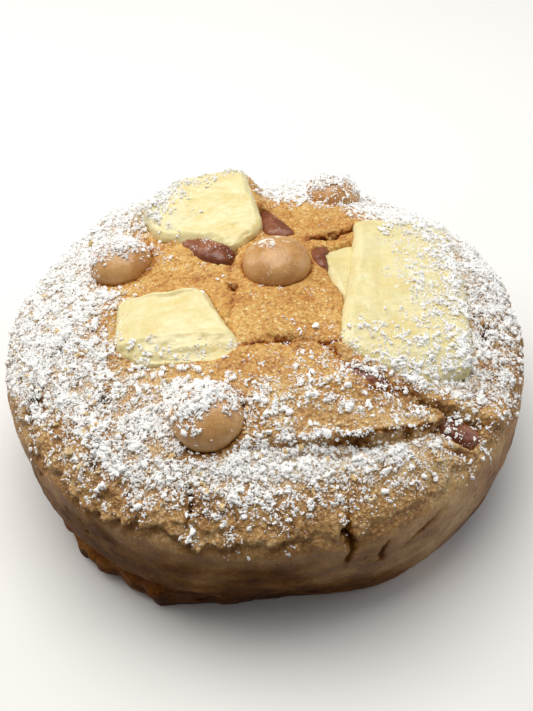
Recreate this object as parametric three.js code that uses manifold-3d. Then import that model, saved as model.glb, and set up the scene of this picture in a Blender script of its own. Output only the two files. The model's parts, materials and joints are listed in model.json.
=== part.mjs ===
// A thick lemon cookie baked in a ring: a domed round of dough with slabs of white chocolate, caramel
// drops and chunks of milk chocolate pressed into its top.
//
// Units are millimetres. The cookie stands on the plane Z = 0 with the origin at the middle of its flat
// base. +Z is up, +X is to the right and -Y is the front, where the side shows best.

import * as THREE from 'three';
import { mergeVertices } from 'three/addons/utils/BufferGeometryUtils.js';
import Module from 'manifold-3d';

const wasm = await Module();
wasm.setup();

// ---------------------------------------------------------------------------------------------------
// Driving dimensions

const COOKIE_RADIUS = 48;        // at the widest, a little above half height
const COOKIE_HEIGHT = 37;        // dough only, at the middle of the dome
const WIDEST_HEIGHT = 22.5;      // height of the widest ring
const FOOT_RADIUS = 43;          // the side draws in to this at the base
const FOOT_ROUND = 1.2;          // rounded lower edge
const SKIRT_HEIGHT = 9;          // the run-out skirt at the front left fades out at this height
const DOME_POWER = 0.557;        // how full the shoulder is: 0.5 would be an ellipse

const DROP_RADIUS = 5.9;         // caramel drops, widest
const DROP_HEIGHT = 5.6;
const DROP_SUNK = 1.1;           // how deep a drop sits in the dough
const DROP_FOOT = 0.8;           // its flat underside, as a share of its widest radius
const DROP_WAIST = 0.24;         // how high it is widest, as a share of its height
const SLAB_THICKNESS = 4.2;      // white chocolate
const SLAB_EDGE = 0.9;           // its softened edge
const SLAB_CROWN = 0.2;          // how much its middle stands over its edge
const CHUNK_DEPTH = 3.6;         // milk chocolate, mostly below the crust
const CHUNK_ROUND = 0.8;         // its rounded corners
const CHUNK_EDGE = 0.6;          // its softened upper edge
const CHUNK_TAPER = 1.2;         // how far its sides draw in below the crust

const CRACK_CLEARANCE = 0.8;     // how far a crack's cutter stands above the crust
const SOCKET_RISE = 6;           // a socket's cutter goes this far above its topping
const TO_MIDDLE = 100;           // an inset past any outline: the middle of a flat piece
const GAP = 0.3;                 // between each topping and the dough or topping beside it

const DOUGH_SEGMENTS = 68;
const DOME_RINGS = 16;
const SIDE_RINGS = 5;
const SLAB_SEGMENTS = 30;
const DROP_SEGMENTS = 18;
const DROP_RINGS = 6;
const CHUNK_SEGMENTS = 14;

// ---------------------------------------------------------------------------------------------------
// Materials

const bakedDough = new THREE.MeshStandardMaterial({ color: 0xd9a059, roughness: 0.85, metalness: 0 });
const whiteChocolate = new THREE.MeshStandardMaterial({ color: 0xf5ebae, roughness: 0.5, metalness: 0 });
const caramelChocolate = new THREE.MeshStandardMaterial({ color: 0xb98758, roughness: 0.4, metalness: 0 });
const milkChocolate = new THREE.MeshStandardMaterial({ color: 0x986746, roughness: 0.55, metalness: 0 });

// ---------------------------------------------------------------------------------------------------
// Helpers

const degrees = (value) => THREE.MathUtils.degToRad(value);

/** A rounded hill: 1 at its middle, 0 far away, with its own radius along X and along Y. */
function hill(x, y, [middleX, middleY], [radiusX, radiusY]) {
  const across = (x - middleX) / radiusX;
  const along = (y - middleY) / radiusY;
  return Math.exp(-(across * across + along * along));
}

/** The solid of a three.js geometry, with its shared vertices merged. */
function solidOf(geometry) {
  const bare = geometry.clone();
  bare.deleteAttribute('normal');
  bare.deleteAttribute('uv');
  const merged = mergeVertices(bare, 1e-4);
  const mesh = new wasm.Mesh({
    numProp: 3,
    vertProperties: new Float32Array(merged.attributes.position.array),
    triVerts: new Uint32Array(merged.index.array),
  });
  mesh.merge();
  return new wasm.Manifold(mesh);
}

/** The three.js geometry of a solid. */
function geometryOf(solid) {
  const mesh = solid.getMesh();
  const geometry = new THREE.BufferGeometry();
  geometry.setAttribute('position', new THREE.BufferAttribute(new Float32Array(mesh.vertProperties), 3));
  geometry.setIndex(new THREE.BufferAttribute(new Uint32Array(mesh.triVerts), 1));
  geometry.computeVertexNormals();
  return geometry;
}

/**
 * A turned shape whose section is (radius, height) points from the bottom of the axis to its top, stood
 * up on +Z, with each vertex then moved by shape({ radius, height, step, angle }) to [x, y, z].
 */
function turned(section, segments, shape) {
  const geometry = new THREE.LatheGeometry(section, segments);
  const position = geometry.attributes.position;
  for (let step = 0; step <= segments; step += 1) {
    for (let ring = 0; ring < section.length; ring += 1) {
      const { x: radius, y: height } = section[ring];
      const angle = (2 * Math.PI * (step % segments)) / segments;
      position.setXYZ(step * section.length + ring,
        ...shape({ radius, height, step: step % segments, angle }));
    }
  }
  return geometry;
}

/** A mesh with its node's name. */
function node(name, geometry, material) {
  const mesh = new THREE.Mesh(geometry, material);
  mesh.name = name;
  return mesh;
}

// ---------------------------------------------------------------------------------------------------
// Dough

// Swellings of the dough between and under the toppings: middle, radii and height.
const LUMPS = [
  { middle: [6, -25], radii: [15, 9], height: 1.1 },      // front, above the ledge
  { middle: [4, -6], radii: [9, 7], height: 0.5 },        // centre, in front of the middle drop
  { middle: [-7, 28], radii: [11, 9], height: 2.2 },      // under the back slab
  { middle: [-25, 32], radii: [12, 9], height: 2.4 },     // back left, beside that slab
  { middle: [11, 24], radii: [8, 6], height: 0.7 },       // back right, above the gap
  { middle: [28, 33], radii: [9, 8], height: -1.6 },      // low back right shoulder
  { middle: [42, 14], radii: [7, 11], height: 1.2 },      // right, beside the right slab
  { middle: [-31, -7], radii: [8, 10], height: 0.6 },     // left
  { middle: [-22, -30], radii: [9, 7], height: 0.5 },     // front left
  { middle: [32, -27], radii: [6, 6], height: -0.9 },     // sunk corner in front of the right slab
];

/** A hill round the outline: 1 at its angle in degrees, fading out over a spread in degrees. */
function bulge(angle, middle, spread) {
  const away = THREE.MathUtils.euclideanModulo(THREE.MathUtils.radToDeg(angle) - middle + 180, 360) - 180;
  return Math.exp(-((away / spread) ** 2));
}

/** How far the widest outline stands out of a true circle at an angle. */
function outlineSwell(angle) {
  return 0.3 * Math.cos(angle) + 0.2 * Math.sin(5 * angle + 2.1) + 0.15 * Math.sin(9 * angle)
    - 1.1 * bulge(angle, 208, 14) + 0.5 * bulge(angle, 30, 22);
}

/** How much fuller the side is towards the foot: full at the front right, drawn in at the front. */
function lowSwell(angle) {
  return 2.3 * bulge(angle, 322, 26) - 1.9 * bulge(angle, 274, 14) + 1.4 * bulge(angle, 246, 12)
    + 1.6 * bulge(angle, 218, 16);
}

/** The skirt of dough that ran out under the ring at the front left, at the foot only. */
function skirtSwell(angle) {
  return 1.9 * bulge(angle, 236, 14) + 0.2 * Math.sin(11 * angle + 1);
}

/** The height of the plain dome at a distance from the axis. */
function domeHeight(radius) {
  const inside = Math.max(0, 1 - (radius / COOKIE_RADIUS) ** 2);
  return WIDEST_HEIGHT + (COOKIE_HEIGHT - WIDEST_HEIGHT) * inside ** DOME_POWER;
}

/** How much the lumps add to the dome at a point. */
function lumpRise(x, y) {
  return LUMPS.reduce((rise, lump) => rise + lump.height * hill(x, y, lump.middle, lump.radii), 0);
}

/** The height of the dough's top at a point, lumps included. */
function doughTop(x, y) {
  return domeHeight(Math.hypot(x, y)) + lumpRise(x, y);
}

/** Section of the round of dough: flat base, rounded foot, side that widens upwards, domed top. */
function doughSection() {
  const section = [
    new THREE.Vector2(0, 0),
    new THREE.Vector2(FOOT_RADIUS - FOOT_ROUND, 0),
    new THREE.Vector2(FOOT_RADIUS - 0.2 * FOOT_ROUND, 0.4 * FOOT_ROUND),
  ];
  for (let ring = 1; ring <= SIDE_RINGS; ring += 1) {
    const height = FOOT_ROUND + ((WIDEST_HEIGHT - FOOT_ROUND) * (ring - 0.6)) / SIDE_RINGS;
    const widening = Math.sin((Math.PI / 2) * (height / WIDEST_HEIGHT));
    section.push(new THREE.Vector2(FOOT_RADIUS + (COOKIE_RADIUS - FOOT_RADIUS) * widening, height));
  }
  for (let ring = 0; ring <= DOME_RINGS; ring += 1) {
    const radius = COOKIE_RADIUS * Math.cos((Math.PI / 2) * (ring / DOME_RINGS));
    section.push(new THREE.Vector2(ring < DOME_RINGS ? radius : 0, domeHeight(radius)));
  }
  return section;
}

/** The round of dough before anything is pressed into it. */
function doughRound() {
  return turned(doughSection(), DOUGH_SEGMENTS, ({ radius, height, angle }) => {
    const low = Math.max(0, 1 - height / WIDEST_HEIGHT);
    const swell = outlineSwell(angle) + lowSwell(angle) * low ** 0.7
      + skirtSwell(angle) * Math.max(0, 1 - height / SKIRT_HEIGHT);
    const reach = radius * (1 + swell / COOKIE_RADIUS);
    const x = reach * Math.cos(angle);
    const y = reach * Math.sin(angle);
    const above = THREE.MathUtils.smoothstep(height, WIDEST_HEIGHT, WIDEST_HEIGHT + 7);
    return [x, y, height + above * lumpRise(x, y)];
  });
}

// ---------------------------------------------------------------------------------------------------
// Cracks and holes in the crust

// Each crack runs through its points on the top, fading out at both ends.
const CRACKS = [
  { points: [[-3, -15.2], [1.5, -13.9], [6, -14], [11.5, -15.4]], width: 1.0, depth: 1.6 },
  { points: [[11, 13], [13, 14], [16, 15.6], [18.4, 16.6]], width: 2.0, depth: 3.4 },
  { points: [[-1, -37], [5, -36], [13, -35.3], [19, -32.6], [25, -30.4]], width: 1.6, depth: 1.4 },
  { points: [[23, -22.8], [26, -25], [32, -25.8], [38, -25.4]], width: 1.2, depth: 1.6 },
];

/**
 * A wedge that opens a crack: widest at its middle, sharp at both ends and along its bottom. It is an
 * upright slice whose top stands clear of the crust and whose bottom follows the crust at the depth.
 */
function crackCutter({ points, width, depth }) {
  const run = new THREE.CatmullRomCurve3(points.map(([x, y]) => new THREE.Vector3(x, y, 0)));
  const steps = 4 * points.length;
  const edge = (side) => run.getSpacedPoints(steps).map((point, step) => {
    const across = run.getTangentAt(step / steps).cross(new THREE.Vector3(0, 0, side));
    return point.clone().addScaledVector(across, (width / 2) * crackFade(step / steps));
  });
  const outline = [...edge(1), ...edge(-1).reverse().slice(1, -1)];
  const slice = new THREE.ExtrudeGeometry(new THREE.Shape(outline.map(({ x, y }) => new THREE.Vector2(x, y))),
    { depth: 1, steps: 1, bevelEnabled: false });
  const position = slice.attributes.position;
  for (let index = 0; index < position.count; index += 1) {
    const [x, y, end] = [position.getX(index), position.getY(index), position.getZ(index)];
    const share = nearestShare(run, steps, x, y);
    const middle = run.getPointAt(share);
    const narrow = end > 0 ? 1.4 : 0.4;
    const top = doughTop(middle.x, middle.y);
    position.setXYZ(index, middle.x + narrow * (x - middle.x), middle.y + narrow * (y - middle.y),
      end > 0 ? top + CRACK_CLEARANCE : top - depth * crackFade(share));
  }
  return slice;
}

/** How open a crack is at a share of its length, from 0 at its ends to 1 at its middle. */
function crackFade(share) {
  return Math.sin(Math.PI * share) ** 0.6;
}

/** The share of a run's length, in whole steps, at which it passes closest to a point. */
function nearestShare(run, steps, x, y) {
  let best = 0;
  for (let step = 1; step <= steps; step += 1) {
    if (distanceAt(run, step / steps, x, y) < distanceAt(run, best / steps, x, y)) best = step;
  }
  return best / steps;
}

function distanceAt(run, share, x, y) {
  const point = run.getPointAt(share);
  return Math.hypot(point.x - x, point.y - y);
}

// Holes where steam broke out of the side, under the crust's edge: angle, height, half-length and reach.
const SIDE_HOLES = [
  { angle: 284, height: 25, radii: [1.6, 1.2, 1.5] },
  { angle: 208, height: 28.5, radii: [1.8, 2.2, 1.1] },
];

/** An egg-shaped cutter at the side of the dough. */
function sideHoleCutter({ angle, height, radii }) {
  const [inward, along, up] = radii;
  const inside = 1 - ((height - WIDEST_HEIGHT) / (COOKIE_HEIGHT - WIDEST_HEIGHT)) ** (1 / DOME_POWER);
  const geometry = new THREE.SphereGeometry(1, 10, 8);
  geometry.scale(inward, along, up);
  geometry.translate(COOKIE_RADIUS * Math.sqrt(inside) - 0.3, 0, 0);
  geometry.rotateZ(degrees(angle));
  geometry.translate(0, 0, height);
  return geometry;
}

// ---------------------------------------------------------------------------------------------------
// White chocolate slabs

// Each slab has its corners in plan, the radius that melting gave them, the height of its top at its
// middle and how steeply that top climbs along X and Y. droop is how far its edges have sagged.
const SLABS = {
  white_slab_back: {
    corners: [[1.4, 14.9], [-1.9, 32], [-14.8, 29.6], [-21.8, 22.5], [-18.4, 14.8], [-8.3, 12.6], [-4.4, 9.4]],
    round: 1.0, top: 39.3, climb: [0.02, 0.07], droop: 0.3,
  },
  white_slab_left: {
    corners: [[-24.8, -1.3], [-9.6, -0.5], [-7.4, -6.6], [-3.3, -15.4], [-7.2, -17.9], [-19.6, -17], [-24.6, -12.8]],
    round: 1.2, top: 37.2, climb: [0.09, 0.05], droop: 1.2,
  },
  white_slab_right_upper: {
    corners: [[19.2, 18.6], [36.6, 20], [37.2, 0], [35, -19], [25.6, -22.4], [13.6, -17], [13.9, -11], [17.4, 5]],
    round: 1.0, top: 35.8, climb: [-0.18, 0], droop: 1.0,
  },
  white_slab_right_lower: {
    corners: [[12, 8.6], [17.9, 12.4], [22, 9], [21, -12], [15.5, -13], [14.7, -3], [12.9, 1.4]],
    round: 0.7, top: 35.1, climb: [-0.15, 0], droop: 0.3,
  },
};

/** Closed outline through corners that are rounded off, as evenly spaced points. */
function roundedOutline(corners, round, count) {
  const shape = new THREE.Shape();
  const total = corners.length;
  const corner = (index) => new THREE.Vector2(...corners[(index + total) % total]);
  for (let index = 0; index < total; index += 1) {
    const here = corner(index);
    const fromLast = here.clone().add(corner(index - 1).sub(here).setLength(round));
    const toNext = here.clone().add(corner(index + 1).sub(here).setLength(round));
    if (index === 0) shape.moveTo(fromLast.x, fromLast.y);
    else shape.lineTo(fromLast.x, fromLast.y);
    shape.quadraticCurveTo(here.x, here.y, toNext.x, toNext.y);
  }
  shape.closePath();
  return shape.getSpacedPoints(count).slice(0, count);
}

/** The middle of an outline's points. */
function middleOf(outline) {
  return outline.reduce((sum, point) => sum.add(point), new THREE.Vector2()).divideScalar(outline.length);
}

/** The same points in counter-clockwise order, which keeps a shape's faces outwards. */
function counterClockwise(outline) {
  return THREE.ShapeUtils.isClockWise(outline) ? outline.slice().reverse() : outline;
}

/**
 * A flat piece with a rounded outline. section holds (inset from the outline, height) points from the
 * middle of its underside to the middle of its top, and surface gives the height that they start from.
 */
function flatPiece({ outline, section, surface, grow = 0 }) {
  const points = counterClockwise(outline);
  const middle = middleOf(points);
  return turned(section.map(([inset, height]) => new THREE.Vector2(inset, height)), points.length,
    ({ radius: inset, height, step }) => {
      const arm = points[step].clone().sub(middle);
      const length = arm.length();
      const share = Math.max(0, (length + grow - Math.min(inset, length + grow)) / length);
      const x = middle.x + arm.x * share;
      const y = middle.y + arm.y * share;
      return [x, y, surface(x, y, share) + height];
    });
}

/** A white chocolate slab; with clearance it is the space that it needs, open upwards. */
function slab(name, clearance = 0) {
  const { corners, round, top, climb, droop } = SLABS[name];
  const outline = roundedOutline(corners, round, SLAB_SEGMENTS);
  const middle = middleOf(outline);
  const surface = (x, y, share) =>
    top + climb[0] * (x - middle.x) + climb[1] * (y - middle.y) - droop * share ** 3;
  const bottom = -SLAB_THICKNESS - clearance;
  const section = [
    [TO_MIDDLE, bottom], [SLAB_EDGE, bottom], [0, bottom + SLAB_EDGE], [0, -SLAB_EDGE],
    [0.3 * SLAB_EDGE, -0.3 * SLAB_EDGE], [SLAB_EDGE, 0], [4 * SLAB_EDGE, 0.6 * SLAB_CROWN], [TO_MIDDLE, SLAB_CROWN],
  ];
  const lift = clearance > 0 ? SOCKET_RISE : 0;
  const open = section.map(([inset, height]) => [inset, height > bottom + SLAB_EDGE ? height + lift : height]);
  return flatPiece({ outline, section: open, surface, grow: clearance });
}

// ---------------------------------------------------------------------------------------------------
// Milk chocolate chunks, showing where the crust is open

const CHUNKS = {
  milk_chunk_back_left: {
    corners: [[-17.6, 16.6], [-8.4, 14.6], [-4.2, 11], [-6.2, 6], [-9.2, 8.6], [-13.2, 13.2]], proud: 0.6,
  },
  milk_chunk_back: { corners: [[1.6, 14.2], [1, 22.6], [3.4, 21.4], [5.8, 17.4], [7.6, 14.6]], proud: 0.6 },
  milk_chunk_centre: { corners: [[10.1, 8.6], [11.4, 10.4], [14.2, 9.4], [14, 3], [10.9, 4.6]], proud: 0.3 },
  milk_chunk_front: { corners: [[13.4, -19.6], [17, -20.4], [21, -22.8], [18.6, -24], [14.4, -22]], proud: 0.4 },
  milk_chunk_front_right: {
    corners: [[28, -27.2], [32.6, -26.8], [35.8, -28.6], [33, -31.2], [28.8, -30]], proud: 0.7,
  },
};

/** A chunk that follows the crust; with clearance it is the space that it needs, open upwards. */
function chunk(name, clearance = 0) {
  const { corners, proud } = CHUNKS[name];
  const outline = roundedOutline(corners, CHUNK_ROUND, CHUNK_SEGMENTS);
  const lift = clearance > 0 ? SOCKET_RISE : 0;
  const section = [
    [TO_MIDDLE, -CHUNK_DEPTH - clearance], [CHUNK_TAPER, -0.8 * CHUNK_DEPTH - clearance],
    [0, -0.5 * CHUNK_DEPTH], [0, lift - CHUNK_EDGE], [CHUNK_EDGE, 0.7 * proud + lift], [TO_MIDDLE, proud + lift],
  ];
  return flatPiece({ outline, section, surface: doughTop, grow: clearance });
}

// ---------------------------------------------------------------------------------------------------
// Caramel drops

// Middle on the top, radius, and the way each leans: towards this angle by this many degrees.
const DROPS = {
  caramel_drop_centre: { middle: [3.6, 4.3], radius: 6.0, leanTo: 270, lean: 2 },
  caramel_drop_left: { middle: [-25.2, 10], radius: 5.7, leanTo: 150, lean: 12 },
  caramel_drop_back: { middle: [16, 33], radius: 5.5, leanTo: 64, lean: 22 },
  caramel_drop_front: { middle: [-8.8, -28.9], radius: 5.65, leanTo: 252, lean: 17 },
};

/** A drop of caramel chocolate: domed, widest just above its flat underside. */
function drop(name, clearance = 0) {
  const { middle, radius, leanTo, lean } = DROPS[name];
  const reach = radius + clearance;
  const height = DROP_HEIGHT * (radius / DROP_RADIUS) + clearance;
  const section = [
    new THREE.Vector2(0, -clearance), new THREE.Vector2(DROP_FOOT * reach, -clearance),
    new THREE.Vector2(0.95 * reach, 0.4 * DROP_WAIST * height),
  ];
  for (let ring = 0; ring <= DROP_RINGS; ring += 1) {
    const turn = (Math.PI / 2) * (ring / DROP_RINGS);
    section.push(new THREE.Vector2(ring < DROP_RINGS ? reach * Math.cos(turn) : 0,
      height * (DROP_WAIST + (1 - DROP_WAIST) * Math.sin(turn))));
  }
  const geometry = turned(section, DROP_SEGMENTS, ({ radius: arm, height: up, angle }) =>
    [arm * Math.cos(angle), arm * Math.sin(angle), up - DROP_SUNK]);
  const tilt = new THREE.Vector3(-Math.sin(degrees(leanTo)), Math.cos(degrees(leanTo)), 0);
  geometry.applyMatrix4(new THREE.Matrix4().makeRotationAxis(tilt, degrees(lean)));
  geometry.translate(middle[0], middle[1], doughTop(...middle));
  return geometry;
}

// ---------------------------------------------------------------------------------------------------
// Assembly

/** The dough with its cracks and holes, and a socket for each topping. */
function dough() {
  let solid = solidOf(doughRound());
  const cutters = [
    ...CRACKS.map(crackCutter),
    ...SIDE_HOLES.map(sideHoleCutter),
    ...Object.keys(SLABS).map((name) => slab(name, GAP)),
    ...Object.keys(CHUNKS).map((name) => chunk(name, GAP)),
    ...Object.keys(DROPS).map((name) => drop(name, GAP)),
  ];
  for (const cutter of cutters) solid = solid.subtract(solidOf(cutter));
  return geometryOf(solid);
}

/** A topping less the space that those lying over or against it need. */
function cutBack(geometry, neighbours) {
  return geometryOf(neighbours.reduce((solid, neighbour) => solid.subtract(solidOf(neighbour)), solidOf(geometry)));
}

const cookie = new THREE.Group();
cookie.add(node('cookie_dough', dough(), bakedDough));

for (const name of ['white_slab_back', 'white_slab_left', 'white_slab_right_upper']) {
  cookie.add(node(name, slab(name), whiteChocolate));
}
cookie.add(node('white_slab_right_lower',
  cutBack(slab('white_slab_right_lower'), [slab('white_slab_right_upper', GAP)]), whiteChocolate));

const chunkNeighbours = ['white_slab_back', 'white_slab_right_lower', 'white_slab_right_upper'];
for (const name of Object.keys(CHUNKS)) {
  const spaces = chunkNeighbours.map((neighbour) => slab(neighbour, GAP));
  cookie.add(node(name, cutBack(chunk(name), spaces), milkChocolate));
}

for (const name of Object.keys(DROPS)) cookie.add(node(name, drop(name), caramelChocolate));

export default cookie;
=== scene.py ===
"""A lemon cookie, baked in a ring and dusted with icing sugar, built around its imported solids.

The solids give every piece its place and size. This script gives each its real surface: the crust with
its ledges, cracks and pores, softened slabs of white chocolate, caramel drops, milk chocolate in the open
crust, and sifted icing sugar that fell straight down on all of it. Lengths are millimetres in the
code and metres in Blender.
"""

from __future__ import annotations

import itertools
import json
import logging
import math
from collections.abc import Iterator, Sequence
from contextlib import contextmanager
from dataclasses import dataclass, field
from enum import Enum

import bpy
import numpy as np
from mathutils import Matrix, Vector
from mathutils.bvhtree import BVHTree

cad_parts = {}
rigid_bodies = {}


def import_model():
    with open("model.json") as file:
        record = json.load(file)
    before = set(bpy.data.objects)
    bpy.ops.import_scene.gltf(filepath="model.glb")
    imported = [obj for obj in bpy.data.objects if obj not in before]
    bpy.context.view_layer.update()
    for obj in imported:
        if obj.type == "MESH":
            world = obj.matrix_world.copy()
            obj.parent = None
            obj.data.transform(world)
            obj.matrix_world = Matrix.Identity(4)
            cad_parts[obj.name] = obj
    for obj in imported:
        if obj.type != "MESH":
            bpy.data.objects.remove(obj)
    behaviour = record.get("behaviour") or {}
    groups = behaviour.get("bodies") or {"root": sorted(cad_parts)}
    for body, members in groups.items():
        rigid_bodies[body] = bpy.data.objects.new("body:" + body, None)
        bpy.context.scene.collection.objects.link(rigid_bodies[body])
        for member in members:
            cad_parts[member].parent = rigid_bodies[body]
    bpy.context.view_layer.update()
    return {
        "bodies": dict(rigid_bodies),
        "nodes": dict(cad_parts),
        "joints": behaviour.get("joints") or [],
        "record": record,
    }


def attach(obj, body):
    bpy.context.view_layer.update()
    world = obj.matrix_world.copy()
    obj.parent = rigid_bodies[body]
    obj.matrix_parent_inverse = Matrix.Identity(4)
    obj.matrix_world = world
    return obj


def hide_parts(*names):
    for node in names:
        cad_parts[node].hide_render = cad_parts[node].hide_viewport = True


LOG = logging.getLogger("lemon_cookie")
MM = 0.001
# The ring that the cookie was baked in, as a radius in millimetres.
RING = 48.0
# A patch in plan: its middle, its radii along X and Y, and how strong it is.
Patch = tuple[tuple[float, float], tuple[float, float], float]


class Slot(Enum):
    """The record's material slots."""

    DOUGH = "baked_dough"
    WHITE = "white_chocolate"
    CARAMEL = "caramel_chocolate"
    MILK = "milk_chocolate"
    SUGAR = "icing_sugar"


# ---------------------------------------------------------------------------------------------------
# Numbers and noise


def linear(hex_colour: str) -> tuple[float, float, float, float]:
    """Turns an sRGB hex colour to linear light.

    Args:
        hex_colour: Six hex digits, with or without a leading #.

    Returns:
        Red, green, blue and an alpha of 1.
    """
    digits = hex_colour.lstrip("#")
    shares = [int(digits[start : start + 2], 16) / 255 for start in (0, 2, 4)]
    light = [s / 12.92 if s <= 0.04045 else ((s + 0.055) / 1.055) ** 2.4 for s in shares]
    return (light[0], light[1], light[2], 1.0)


def per_metre(size_mm: float) -> float:
    """The scale of a noise or cell texture whose features are this many millimetres across."""
    return 1.0 / (size_mm * MM)


def smoothstep(low: float, high: float, value: np.ndarray) -> np.ndarray:
    """Eases from 0 at low to 1 at high; low may be the larger."""
    share = np.clip((value - low) / (high - low), 0.0, 1.0)
    return share * share * (3.0 - 2.0 * share)


def hill(points: np.ndarray, middle: Sequence[float], radii: Sequence[float]) -> np.ndarray:
    """A rounded hill in plan: 1 at its middle and 0 far away.

    Args:
        points: Points in millimetres, one row each.
        middle: Its middle along X and Y.
        radii: How wide it is along X and Y.

    Returns:
        The hill's height at each point.
    """
    away = (points[:, :2] - np.array(middle)) / np.array(radii)
    return np.exp(-(away**2).sum(axis=1))


def radius_of(points: np.ndarray) -> np.ndarray:
    """How far each point is from the cookie's axis."""
    return np.hypot(points[:, 0], points[:, 1])


def angle_of(points: np.ndarray) -> np.ndarray:
    """The way each point lies from the cookie's axis, in degrees from 0 to 360."""
    return np.degrees(np.arctan2(points[:, 1], points[:, 0])) % 360


def bulge(angle: np.ndarray, middle: float, spread: float) -> np.ndarray:
    """A hill round the outline: 1 at its angle, fading over a spread, all in degrees."""
    away = (angle - middle + 180.0) % 360.0 - 180.0
    return np.exp(-((away / spread) ** 2))


def noise(points: np.ndarray, size: float, seed: int = 0) -> np.ndarray:
    """Smooth random relief, about -1 to 1.

    Args:
        points: Points in millimetres, one row each.
        size: How far apart its bumps are, in millimetres.
        seed: Picks another relief of the same kind.

    Returns:
        The relief at each point.
    """
    cell = points / size + 31.7 * (seed + 1)
    base = np.floor(cell).astype(np.int64)
    part = cell - base
    fade = part**3 * (part * (part * 6.0 - 15.0) + 10.0)
    total = np.zeros(len(points))
    for corner in itertools.product((0, 1), repeat=points.shape[1]):
        at = base + np.array(corner)
        code = at @ np.array([73856093, 19349663, 83492791][: points.shape[1]]) + 2654435761 * seed
        slopes = []
        for _ in range(points.shape[1]):
            code = (code * 1103515245 + 12345) & 0x7FFFFFFF
            code ^= code >> 15
            slopes.append((code & 0xFFFF) / 32767.5 - 1.0)
        weight = np.where(np.array(corner, bool), fade, 1.0 - fade).prod(axis=1)
        total += weight * ((part - np.array(corner)) * np.stack(slopes, axis=1)).sum(axis=1)
    return total * 1.7


def rough(points: np.ndarray, size: float, seed: int = 0, layers: int = 3) -> np.ndarray:
    """Noise with finer and fainter layers of itself added."""
    return sum(noise(points, size / 2**k, seed + 7 * k) / 1.8**k for k in range(layers))


# ---------------------------------------------------------------------------------------------------
# Blender


def only(*objects: bpy.types.Object) -> None:
    """Selects these objects and nothing else, and makes the first one active."""
    bpy.ops.object.select_all(action="DESELECT")
    for piece in objects:
        piece.select_set(True)
    bpy.context.view_layer.objects.active = objects[0]


@contextmanager
def edit_mode(piece: bpy.types.Object, everything: bool = True) -> Iterator[None]:
    """Edit mode on one object.

    Args:
        piece: The object.
        everything: Whether to select all of it first, or keep its selection as it is.
    """
    only(piece)
    bpy.ops.object.mode_set(mode="EDIT")
    if everything:
        bpy.ops.mesh.select_all(action="SELECT")
    yield
    bpy.ops.object.mode_set(mode="OBJECT")


def modify(piece: bpy.types.Object, kind: str, **settings: object) -> None:
    """Adds a modifier to an object and applies it.

    Args:
        piece: The object.
        kind: The modifier's type.
        settings: The modifier's settings by name.
    """
    modifier = piece.modifiers.new(kind.title(), kind)
    for name, value in settings.items():
        setattr(modifier, name, value)
    only(piece)
    bpy.ops.object.modifier_apply(modifier=modifier.name)


def points_of(piece: bpy.types.Object) -> np.ndarray:
    """Reads an object's vertices.

    Args:
        piece: The object.

    Returns:
        Their places in millimetres, one row each.
    """
    flat = np.empty(3 * len(piece.data.vertices), np.float32)
    piece.data.vertices.foreach_get("co", flat)
    return flat.reshape(-1, 3).astype(float) / MM


def normals_of(piece: bpy.types.Object) -> np.ndarray:
    """Reads which way an object faces.

    Args:
        piece: The object.

    Returns:
        The outward direction at each of its vertices, one row each.
    """
    flat = np.empty(3 * len(piece.data.vertices), np.float32)
    piece.data.vertex_normals.foreach_get("vector", flat)
    return flat.reshape(-1, 3).astype(float)


def put_points(piece: bpy.types.Object, points: np.ndarray) -> None:
    """Moves an object's vertices to these places, in millimetres."""
    piece.data.vertices.foreach_set("co", (points * MM).astype(np.float32).ravel())
    piece.data.update()


def set_attribute(piece: bpy.types.Object, name: str, values: np.ndarray) -> None:
    """Stores one number for each vertex, which the object's material reads by this name."""
    attribute = piece.data.attributes.new(name, "FLOAT", "POINT")
    attribute.data.foreach_set("value", values.astype(np.float32))


def shade_smooth(piece: bpy.types.Object) -> None:
    """Shades an object's faces smoothly."""
    only(piece)
    bpy.ops.object.shade_smooth()


def copy_of(node: bpy.types.Object, name: str) -> bpy.types.Object:
    """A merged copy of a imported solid, for a new piece that stays where the solid is.

    Args:
        node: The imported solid, which is left as it is.
        name: The new piece's name.

    Returns:
        The copy, with no material.
    """
    piece = bpy.data.objects.new(name, node.data.copy())
    piece.data.name = name
    piece.data.materials.clear()
    bpy.context.scene.collection.objects.link(piece)
    with edit_mode(piece):
        bpy.ops.mesh.remove_doubles(threshold=1e-6)
    return piece


def remesh(piece: bpy.types.Object, voxel: float) -> None:
    """Rebuilds an object's skin with even faces of about this size, in millimetres."""
    modify(piece, "REMESH", mode="VOXEL", voxel_size=voxel * MM, use_smooth_shade=True)


def soften(piece: bpy.types.Object, passes: int, factor: float = 0.5) -> None:
    """Rounds an object's edges and facets off."""
    modify(piece, "SMOOTH", factor=factor, iterations=passes)


def swell(piece: bpy.types.Object, distance: float) -> None:
    """Moves an object's skin outwards by a distance in millimetres."""
    modify(piece, "DISPLACE", mid_level=0.0, strength=distance * MM)


def thin_to(piece: bpy.types.Object, triangles: int) -> None:
    """Takes faces away where they show least.

    Args:
        piece: The object.
        triangles: How many triangles may stay.
    """
    piece.data.calc_loop_triangles()
    there = len(piece.data.loop_triangles)
    if there > triangles:
        modify(piece, "DECIMATE", ratio=triangles / there)


def settle(piece: bpy.types.Object, slot: Slot, material: bpy.types.Material, *nodes: str) -> None:
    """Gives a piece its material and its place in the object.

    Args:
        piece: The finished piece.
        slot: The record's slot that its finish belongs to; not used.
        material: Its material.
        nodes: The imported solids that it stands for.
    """
    piece.data.materials.clear()
    piece.data.materials.append(material)
    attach(piece, "root")
    if nodes:
        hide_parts(*nodes)
    piece.data.calc_loop_triangles()
    LOG.info("%s: %d triangles", piece.name, len(piece.data.loop_triangles))


# ---------------------------------------------------------------------------------------------------
# Finishes


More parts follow.
